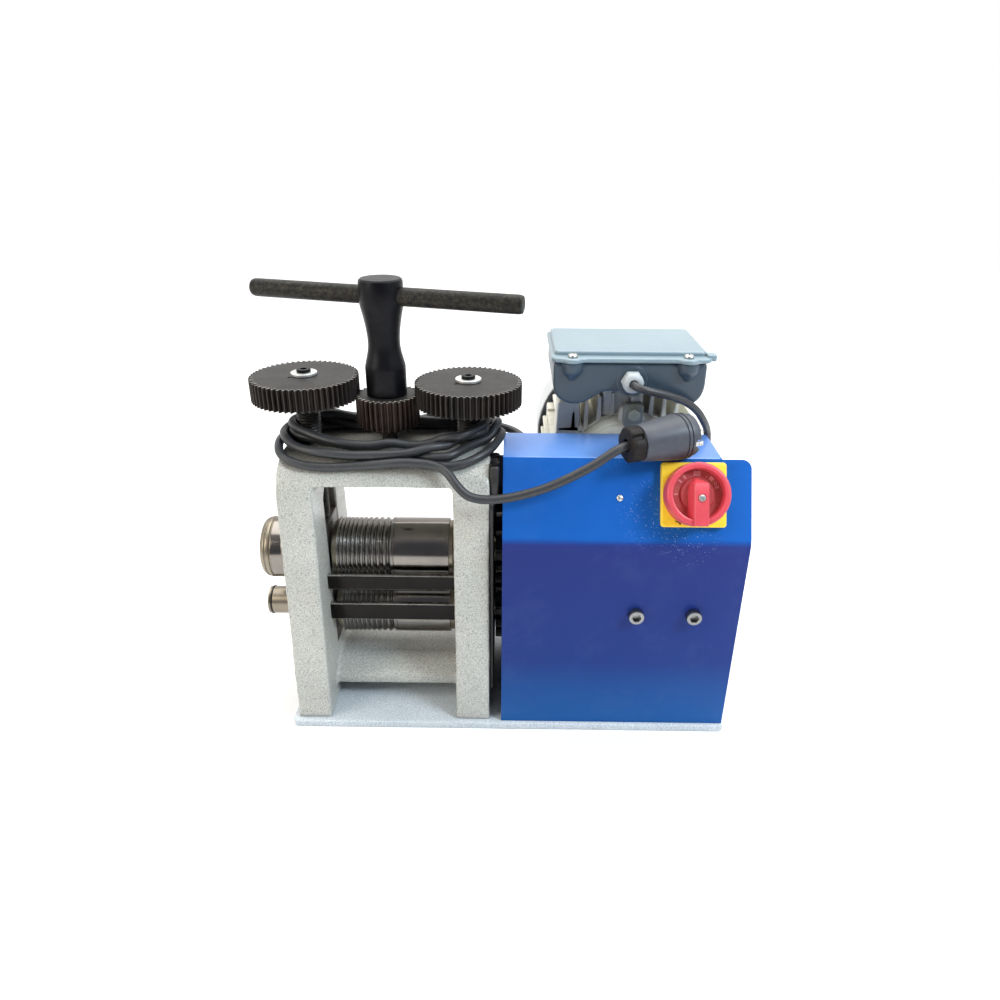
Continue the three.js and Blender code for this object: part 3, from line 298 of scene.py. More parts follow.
def blue_paint(name, front):
    """Glossy enamel with dust; on the front sheet, painted shade darkens the panel below its bend and a painted
    reflection of the base plate lightens its lowest strip.
    """
    k = Look(name, (0.010, 0.10, 0.40), 0.36, 0.0, Coat_Weight=0.08, Coat_Roughness=0.12, Specular_IOR_Level=0.09)
    tone = k.ramp(k.noise(7, 3), (0.3, (0.009, 0.088, 0.36)), (0.7, (0.011, 0.108, 0.43)))
    if front:
        # Painted shade and reflection by height: darker vertical panel, a lighter bottom strip as a reflection of the
        # base plate, and the plain tone on the slope above the bend.
        height = k.math("DIVIDE", k.along("Z"), 0.25)
        wave = k.math("MULTIPLY", k.math("SUBTRACT", k.noise(5, 2), 0.5), 0.10)
        painted_shade_and_reflection = k.ramp(
            k.math("ADD", height, wave),
            (0.05, (0.010, 0.088, 0.30)),
            (0.22, (0.011, 0.066, 0.25)),
            (0.36, (0.013, 0.036, 0.185)),
            (0.84, (0.015, 0.028, 0.165)),
            (0.892, (0.015, 0.030, 0.18)),
            (0.905, (0.010, 0.088, 0.37)),
        )
        upper = k.ramp(height, (0.880, 0.0), (0.905, 1.0))
        tone = k.mix(upper, painted_shade_and_reflection, tone)
    dots = k.ramp(k.cells(560, "F1"), (0.07, 0.8), (0.22, 0.0))
    rare = k.ramp(k.noise(260, 2), (0.46, 0.0), (0.54, 1.0))
    dots = k.math("MULTIPLY", dots, rare)
    by_switch = k.math("MAXIMUM", k.near((256, -72, 240), 40), k.near((286, -84, 220), 36))
    top_edge = k.math("MULTIPLY", k.near((222, -52, 284), 26), 0.35)
    where = k.math("MAXIMUM", by_switch, top_edge)
    stray = k.ramp(k.noise(330, 2), (0.72, 0.0), (0.76, 0.5))
    dust = k.math("MAXIMUM", k.math("MULTIPLY", dots, k.ramp(where, (0.02, 0.0), (0.5, 1.0))), k.math("MULTIPLY", dots, stray))
    film = k.math("MULTIPLY", k.ramp(k.noise(22, 5, 0.7), (0.5, 0.0), (0.85, 1.0)), 0.06)
    col = k.mix(film, tone, (0.22, 0.32, 0.5))
    k.colour(k.mix(dust, col, (0.62, 0.72, 0.82)))
    k.rough(k.math("MAXIMUM", k.noise(40, 3), dust), 0.28, 0.5)
    k.bump(k.noise(240, 2, 0.5), 0.10, 0.25)
    return k.m


BLUE = blue_paint("blue_enamel_front", True)
BLUE_BACK = blue_paint("blue_enamel", False)


def top_enamel_with_painted_sky_light():
    """The covers' level top: the same enamel painted much lighter as a painted reflection of the sky, with dust specks.
    """
    k = Look("blue_enamel_top", (0.10, 0.24, 0.60), 0.34, 0.0, Coat_Weight=0.3, Coat_Roughness=0.15)
    tone = k.ramp(k.noise(9, 3), (0.3, (0.075, 0.20, 0.55)), (0.7, (0.13, 0.28, 0.64)))
    dots = k.ramp(k.cells(420, "F1"), (0.05, 0.5), (0.13, 0.0))
    k.colour(k.mix(k.math("MULTIPLY", dots, k.ramp(k.noise(60, 2), (0.5, 0.0), (0.62, 1.0))), tone, (0.6, 0.7, 0.8)))
    k.rough(k.noise(40, 3), 0.28, 0.48)
    k.bump(k.noise(240, 2, 0.5), 0.10, 0.25)
    return k.m


BLUE_TOP = top_enamel_with_painted_sky_light()


def chipped_edge_with_glint():
    # Pale chips along the top edge: partly worn paint, partly a painted glint on the bend.
    k = Look("enamel_worn_edge_and_glint", (0.05, 0.17, 0.5), 0.35, 0.0, Coat_Weight=0.5, Coat_Roughness=0.1)
    chips_and_glint = k.ramp(k.noise(520, 4, 0.8), (0.44, 0.0), (0.52, 1.0))
    k.colour(k.mix(chips_and_glint, (0.03, 0.13, 0.45), (0.78, 0.84, 0.9)))
    k.rough(chips_and_glint, 0.25, 0.6)
    k.bump(chips_and_glint, 0.4, 0.1)
    return k.m


BLUE_WORN_GLINT = chipped_edge_with_glint()


def plastic(name, base, lo=0.3, hi=0.5, grain=0.15, dirt=(0.2, 0.14, 0.06), amount=0.25, spec=0.5):
    k = Look(name, base, lo, 0.0, Specular_IOR_Level=spec)
    tone = k.ramp(k.noise(60, 3), (0.3, tuple(c * 0.9 for c in base)), (0.7, base))
    grime = k.ramp(k.noise(140, 5, 0.75), (0.52, 0.0), (0.75, 1.0))
    k.colour(k.mix(k.math("MULTIPLY", grime, amount), tone, dirt))
    k.rough(k.noise(180, 4, 0.7), lo, hi)
    k.bump(k.noise(1100, 2, 0.6), grain, 0.08)
    return k.m


YELLOW = plastic("yellow_plastic", (0.98, 0.66, 0.03), 0.32, 0.5, 0.15, (0.45, 0.22, 0.02), 0.25)
RED = plastic("red_plastic", (0.62, 0.062, 0.082), 0.28, 0.45, 0.12, (0.30, 0.05, 0.03), 0.25)
RED_WELL = plastic("red_plastic_dusty", (0.42, 0.045, 0.045), 0.34, 0.55, 0.2, (0.50, 0.20, 0.12), 0.55)
MARK = plastic("mark_pale", (0.66, 0.20, 0.20), 0.4, 0.6, 0.1, (0.5, 0.1, 0.1), 0.2)
MARK_BLACK = plastic("mark_black", (0.012, 0.012, 0.012), 0.4, 0.6, 0.1, (0.02, 0.02, 0.02), 0.1)
GLAND = plastic("gland_plastic", (0.43, 0.46, 0.47), 0.42, 0.6, 0.2, (0.22, 0.21, 0.18), 0.35)
RUBBER = plastic("cord_rubber", (0.030, 0.031, 0.034), 0.36, 0.52, 0.3, (0.085, 0.082, 0.072), 0.35)
PLUG_RUBBER = plastic("plug_rubber", (0.052, 0.057, 0.072), 0.40, 0.6, 0.3, (0.13, 0.13, 0.13), 0.25)
COLLAR = plastic("collar_rubber", (0.010, 0.008, 0.007), 0.5, 0.7, 0.4, (0.045, 0.032, 0.024), 0.35, 0.25)
FAN = plastic("fan_plastic", (0.02, 0.02, 0.02), 0.45, 0.65)


def paint(name, base, low, dirt, amount=0.35, lo=0.35, hi=0.55, bump=0.2, coat=0.15):
    k = Look(name, base, lo, 0.0, Coat_Weight=coat, Coat_Roughness=0.3)
    tone = k.ramp(k.noise(14, 4), (0.3, low), (0.7, base))
    grime = k.ramp(k.noise(55, 6, 0.78), (0.5, 0.0), (0.78, 1.0))
    specks = k.ramp(k.cells(900, "F1"), (0.06, 1.0), (0.12, 0.0))
    col = k.mix(k.math("MULTIPLY", grime, amount), tone, dirt)
    k.colour(k.mix(k.math("MULTIPLY", specks, 0.35), col, dirt))
    k.rough(k.noise(90, 4), lo, hi)
    k.bump(k.noise(300, 3, 0.6), bump, 0.25)
    return k.m


CREAM = paint("motor_cream", (0.76, 0.74, 0.64), (0.62, 0.605, 0.51), (0.17, 0.15, 0.10), 0.5, bump=0.35)
COWL = paint("cowl_paint", (0.60, 0.62, 0.62), (0.50, 0.52, 0.52), (0.30, 0.29, 0.26), 0.25)
# The terminal box body and lid share one paint: the body copy is painted darker as painted shade, the lid copy lighter
# as painted light from above.
BOX_PAINTED_SHADE = paint("box_paint_in_painted_shade", (0.044, 0.068, 0.092), (0.035, 0.056, 0.078), (0.09, 0.11, 0.11), 0.22, 0.32, 0.48, 0.15, 0.12)
LID_PAINTED_LIGHT = paint("lid_paint_in_painted_light", (0.215, 0.290, 0.325), (0.185, 0.255, 0.288), (0.15, 0.18, 0.18), 0.22, 0.28, 0.42, 0.12, 0.4)
LUG = paint("lug_paint", (0.24, 0.25, 0.22), (0.19, 0.20, 0.175), (0.10, 0.09, 0.07), 0.5, bump=0.35)
CASE = paint("case_iron", (0.16, 0.175, 0.18), (0.12, 0.13, 0.135), (0.06, 0.055, 0.05), 0.5, bump=0.4)
DARK = paint("dark_plate", (0.020, 0.017, 0.016), (0.013, 0.012, 0.012), (0.07, 0.055, 0.04), 0.45, 0.4, 0.6, 0.3)
FRAME_DARK = paint("frame_gear", (0.028, 0.022, 0.020), (0.016, 0.013, 0.012), (0.09, 0.07, 0.05), 0.5, 0.32, 0.55, 0.3)


# ---------------------------------------------------------------- mesh building, all in millimetres
def finish_mesh(name, bm, mat, angle=32.0, smooth=True):
    bmesh.ops.recalc_face_normals(bm, faces=bm.faces)
    me = bpy.data.meshes.new(name)
    bm.to_mesh(me)
    bm.free()
    ob = bpy.data.objects.new(name, me)
    scene.collection.objects.link(ob)
    if mat:
        me.materials.append(mat)
    if smooth:
        shade(ob, angle)
    return ob


def shade(ob, angle=32.0):
    me = ob.data
    me.polygons.foreach_set("use_smooth", [True] * len(me.polygons))
    me.set_sharp_from_angle(angle=rad(angle))
    me.update()


def from_data(name, verts, faces, mat, angle=32.0):
    bm = bmesh.new()
    vs = [bm.verts.new(W(v)) for v in verts]
    for f in faces:
        bm.faces.new([vs[i] for i in f])
    return finish_mesh(name, bm, mat, angle)


PLANE = {"xy": ((1, 0, 0), (0, 1, 0), (0, 0, 1)), "yz": ((0, 1, 0), (0, 0, 1), (1, 0, 0)), "xz": ((1, 0, 0), (0, 0, 1), (0, -1, 0))}


def in_plane(plane, u, v, h):
    if plane == "xy":
        return (u, v, h)
    if plane == "yz":
        return (h, u, v)
    return (u, h, v)


def soften(points, r, n=3, closed=False):
    """Rounds the corners of a polyline."""
    out = []
    m = len(points)
    for i, p in enumerate(points):
        if not closed and i in (0, m - 1):
            out.append(p)
            continue
        a, b = Vector(points[i - 1]), Vector(points[(i + 1) % m])
        p = Vector(p)
        la, lb = (a - p).length, (b - p).length
        if la < 1e-6 or lb < 1e-6:
            out.append(tuple(p))
            continue
        d = min(r, la * 0.46, lb * 0.46)
        turn = (a - p).angle(b - p)
        if turn > rad(172):
            out.append(tuple(p))
            continue
        s, e = p + (a - p) * d / la, p + (b - p) * d / lb
        for k in range(n + 1):
            t = k / n
            out.append(tuple(s * (1 - t) ** 2 + p * 2 * t * (1 - t) + e * t * t))
    return out


def lathe(name, profile, axis, at=(0, 0), mat=None, seg=64, closed=False, r=0.0, angle=30.0):
    """Turned body: profile of (radius, height)."""
    if r:
        profile = soften(profile, r, 3, closed)
    bm = bmesh.new()
    a, b = at

    def place(u, v, h):
        return W({"z": (a + u, b + v, h), "x": (h, a + u, b + v), "y": (a + u, h, b + v)}[axis])

    rows = []
    for rr, h in profile:
        if rr < 1e-4:
            rows.append([bm.verts.new(place(0, 0, h))])
        else:
            rows.append(
                [bm.verts.new(place(rr * math.cos(2 * math.pi * i / seg), rr * math.sin(2 * math.pi * i / seg), h)) for i in range(seg)]
            )
    pairs = list(zip(rows, rows[1:])) + ([(rows[-1], rows[0])] if closed else [])
    for p, q in pairs:
        if len(p) == 1 and len(q) == 1:
            continue
        for i in range(seg):
            j = (i + 1) % seg
            if len(p) == 1:
                bm.faces.new([p[0], q[j], q[i]])
            elif len(q) == 1:
                bm.faces.new([p[i], p[j], q[0]])
            else:
                bm.faces.new([p[i], p[j], q[j], q[i]])
    return finish_mesh(name, bm, mat, angle)


def plate(name, outline, plane, lo, hi, mat=None, holes=(), bevel=0.5, steps=2, angle=32.0):
    """Flat outline with holes, given a thickness and rounded edges."""
    cu = bpy.data.curves.new(name + "_outline", "CURVE")
    cu.dimensions = "2D"
    cu.fill_mode = "BOTH"
    for ring in (outline, *holes):
        sp = cu.splines.new("POLY")
        sp.points.add(len(ring) - 1)
        sp.points.foreach_set("co", [c for x, y in ring for c in (x * MM, y * MM, 0, 1)])
        sp.use_cyclic_u = True
    half = (hi - lo) / 2
    cu.extrude = (half - bevel) * MM
    cu.bevel_depth = bevel * MM
    cu.bevel_resolution = steps - 1
    cu.offset = -bevel * MM
    ob = bpy.data.objects.new(name + "_outline", cu)
    scene.collection.objects.link(ob)
    bpy.context.view_layer.update()
    me = bpy.data.meshes.new_from_object(ob.evaluated_get(bpy.context.evaluated_depsgraph_get()))
    bm = bmesh.new()
    bm.from_mesh(me)
    bpy.data.objects.remove(ob)
    bpy.data.curves.remove(cu)
    bpy.data.meshes.remove(me)
    bmesh.ops.remove_doubles(bm, verts=bm.verts, dist=2e-6)
    mid = (lo + hi) / 2
    for v in bm.verts:
        u, w, h = v.co.x / MM, v.co.y / MM, v.co.z / MM
        v.co = W(in_plane(plane, u, w, mid + h))
    for f in bm.faces:
        f.material_index = 0
    return finish_mesh(name, bm, mat, angle)


def block(name, x0, x1, y0, y1, z0, z1, mat=None, bevel=0.8, steps=2):
    bm = bmesh.new()
    bmesh.ops.create_cube(bm, size=1)
    for v in bm.verts:
        v.co = W((x0 if v.co.x < 0 else x1, y0 if v.co.y < 0 else y1, z0 if v.co.z < 0 else z1))
    if bevel:
        bmesh.ops.bevel(bm, geom=list(bm.edges), offset=bevel * MM, segments=steps, profile=0.5, affect="EDGES")
    return finish_mesh(name, bm, mat)


def rod(name, r, lo, hi, axis, at=(0, 0), mat=None, seg=48, edge=0.0):
    return lathe(name, [(0, lo), (r, lo), (r, hi), (0, hi)], axis, at, mat, seg, r=edge)


def evaluated(ob):
    bpy.context.view_layer.update()
    me = bpy.data.meshes.new_from_object(ob.evaluated_get(bpy.context.evaluated_depsgraph_get()))
    old = ob.data
    ob.modifiers.clear()
    ob.data = me
    if old.users == 0:
        bpy.data.meshes.remove(old)
    return ob


def boolean(ob, others, operation="DIFFERENCE", angle=32.0):
    for o in others:
        m = ob.modifiers.new("b", "BOOLEAN")
        m.operation = operation
        m.solver = "MANIFOLD"
        m.object = o
    evaluated(ob)
    for o in others:
        me = o.data
        bpy.data.objects.remove(o)
        if me.users == 0:
            bpy.data.meshes.remove(me)
    me = ob.data
    for p in me.polygons:
        if p.material_index >= len(me.materials) or me.materials[p.material_index] is None:
            p.material_index = 0
    while me.materials and me.materials[-1] is None:
        me.materials.pop()
    shade(ob, angle)
    return ob


def cut(ob, *others, angle=32.0):
    return boolean(ob, others, "DIFFERENCE", angle)


def join(ob, *others, angle=32.0):
    return boolean(ob, others, "UNION", angle)


def together(ob, *others):
    """Adds other meshes' parts to one object, kept as separate shells."""
    mats = list(ob.data.materials)
    bm = bmesh.new()
    bm.from_mesh(ob.data)
    for o in others:
        start = len(bm.faces)
        bm.from_mesh(o.data)
        bm.faces.ensure_lookup_table()
        for m in o.data.materials:
            if m not in mats:
                mats.append(m)
        index = [mats.index(m) for m in o.data.materials]
        for f in bm.faces[start:]:
            f.material_index = index[f.material_index] if index else 0
        bpy.data.objects.remove(o)
    ob.data.materials.clear()
    for m in mats:
        ob.data.materials.append(m)
    bm.to_mesh(ob.data)
    bm.free()
    return ob


def paint_faces(ob, mat, test):
    """Gives a second material to the faces for which test(centre in mm, normal) holds."""
    me = ob.data
    if mat.name not in [m.name for m in me.materials if m]:
        me.materials.append(mat)
    index = [m.name if m else "" for m in me.materials].index(mat.name)
    for p in me.polygons:
        c = (p.center - OFF) / MM
        if test(c, p.normal):
            p.material_index = index
    return ob


def on(ob, body, *nodes, slot=None):
    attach(ob, body)
    if nodes:
        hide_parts(*nodes)
    return ob


def arc(cx, cy, r, a0, a1, n):
    return [(cx + r * math.cos(rad(a0 + (a1 - a0) * i / n)), cy + r * math.sin(rad(a0 + (a1 - a0) * i / n))) for i in range(n + 1)]


def circle(cx, cy, r, n=48, turn=0.0):
    return [(cx + r * math.cos(rad(turn) + 2 * math.pi * i / n), cy + r * math.sin(rad(turn) + 2 * math.pi * i / n)) for i in range(n)]


def round_rect(x0, x1, y0, y1, r, n=6):
    return arc(x1 - r, y1 - r, r, 0, 90, n) + arc(x0 + r, y1 - r, r, 90, 180, n) + arc(x0 + r, y0 + r, r, 180, 270, n) + arc(x1 - r, y0 + r, r, 270, 360, n)


def gear(m, n, cx=0.0, cy=0.0, turn=0.0, thin=0.06, tip=None, root=None, chamfer=0.22, flank=4):
    """Involute outline, tooth 0 at the angle turn, small chamfers on the tip corners and rounded roots."""
    pitch = m * n / 2
    base = pitch * math.cos(rad(20))
    outer = tip or pitch + m
    inner = root or pitch - 1.25 * m

    def inv(r):
        a = math.acos(min(1, base / r))
        return math.tan(a) - a

    def half(r):
        return (math.pi * m * (0.5 - thin)) / 2 / pitch + inv(pitch) - inv(max(r, base))

    start = max(inner + 0.25 * m, min(base, pitch))
    radii = [start + (outer - chamfer - start) * i / (flank - 1) for i in range(flank)]
    side = [(inner, half(start) + 0.30 * m / pitch), (inner + 0.10 * m, half(start) + 0.06 * m / pitch)]
    side += [(r, half(r)) for r in radii]
    side.append((outer, half(outer) - chamfer * 0.9 / outer))
    out = []
    for k in range(n):
        c = rad(turn) + 2 * math.pi * k / n
        out += [(cx + r * math.cos(c - h), cy + r * math.sin(c - h)) for r, h in side]
        out += [(cx + r * math.cos(c + h), cy + r * math.sin(c + h)) for r, h in reversed(side)]
    return out


def threaded(name, r, depth, pitch, z0, z1, at, mat, seg=40, per=6):
    """Screw thread along Z with its helix in the mesh, closed at both ends."""
    bm = bmesh.new()
    rows = []
    count = int((z1 - z0) / pitch * per)
    for i in range(count + 1):
        z = z0 + (z1 - z0) * i / count
        row = []
        for j in range(seg):
            f = ((z - z0) / pitch - j / seg) % 1.0
            t = abs(2 * f - 1)
            t = min(1, max(0, (t - 0.12) / 0.76))
            q = r - depth * t
            a = 2 * math.pi * j / seg
            row.append(bm.verts.new(W((at[0] + q * math.cos(a), at[1] + q * math.sin(a), z))))
        rows.append(row)
    for p, q in zip(rows, rows[1:]):
        for j in range(seg):
            bm.faces.new([p[j], p[(j + 1) % seg], q[(j + 1) % seg], q[j]])
    bm.faces.new(rows[0])
    bm.faces.new(rows[-1])
    return finish_mesh(name, bm, mat, 50)


def tube(name, points, d, mat, resolution=8):
    """Round cord: one open spline with half its diameter as bevel depth."""
    cu = bpy.data.curves.new(name, "CURVE")
    cu.dimensions = "3D"
    cu.bevel_depth = d / 2 * MM
    cu.bevel_resolution = resolution
    cu.use_fill_caps = True
    sp = cu.splines.new("POLY")
    sp.points.add(len(points) - 1)
    sp.points.foreach_set("co", [c for p in points for c in (*W(p), 1)])
    sp.use_smooth = True
    cu.materials.append(mat)
    ob = bpy.data.objects.new(name, cu)
    scene.collection.objects.link(ob)
    return ob


def smooth_path(ctrl, step):
    """Centripetal Catmull-Rom through the points, sampled about every step mm."""
    p = [Vector(c) for c in ctrl]
    p = [2 * p[0] - p[1]] + p + [2 * p[-1] - p[-2]]
    out = []
    for i in range(1, len(p) - 2):
        a, b, c, d = p[i - 1 : i + 3]
        t1 = (b - a).length ** 0.5
        t2 = t1 + (c - b).length ** 0.5
        t3 = t2 + (d - c).length ** 0.5
        n = max(1, round((c - b).length / step))
        for k in range(n):
            t = t1 + (t2 - t1) * k / n
            a1 = (t1 - t) / t1 * a + t / t1 * b
            a2 = (t2 - t) / (t2 - t1) * b + (t - t1) / (t2 - t1) * c
            a3 = (t3 - t) / (t3 - t2) * c + (t - t2) / (t3 - t2) * d
            b1 = (t2 - t) / t2 * a1 + t / t2 * a2
            b2 = (t3 - t) / (t3 - t1) * a2 + (t - t1) / (t3 - t1) * a3
            out.append((t2 - t) / (t2 - t1) * b1 + (t - t1) / (t2 - t1) * b2)
    out.append(p[-2])
    return out


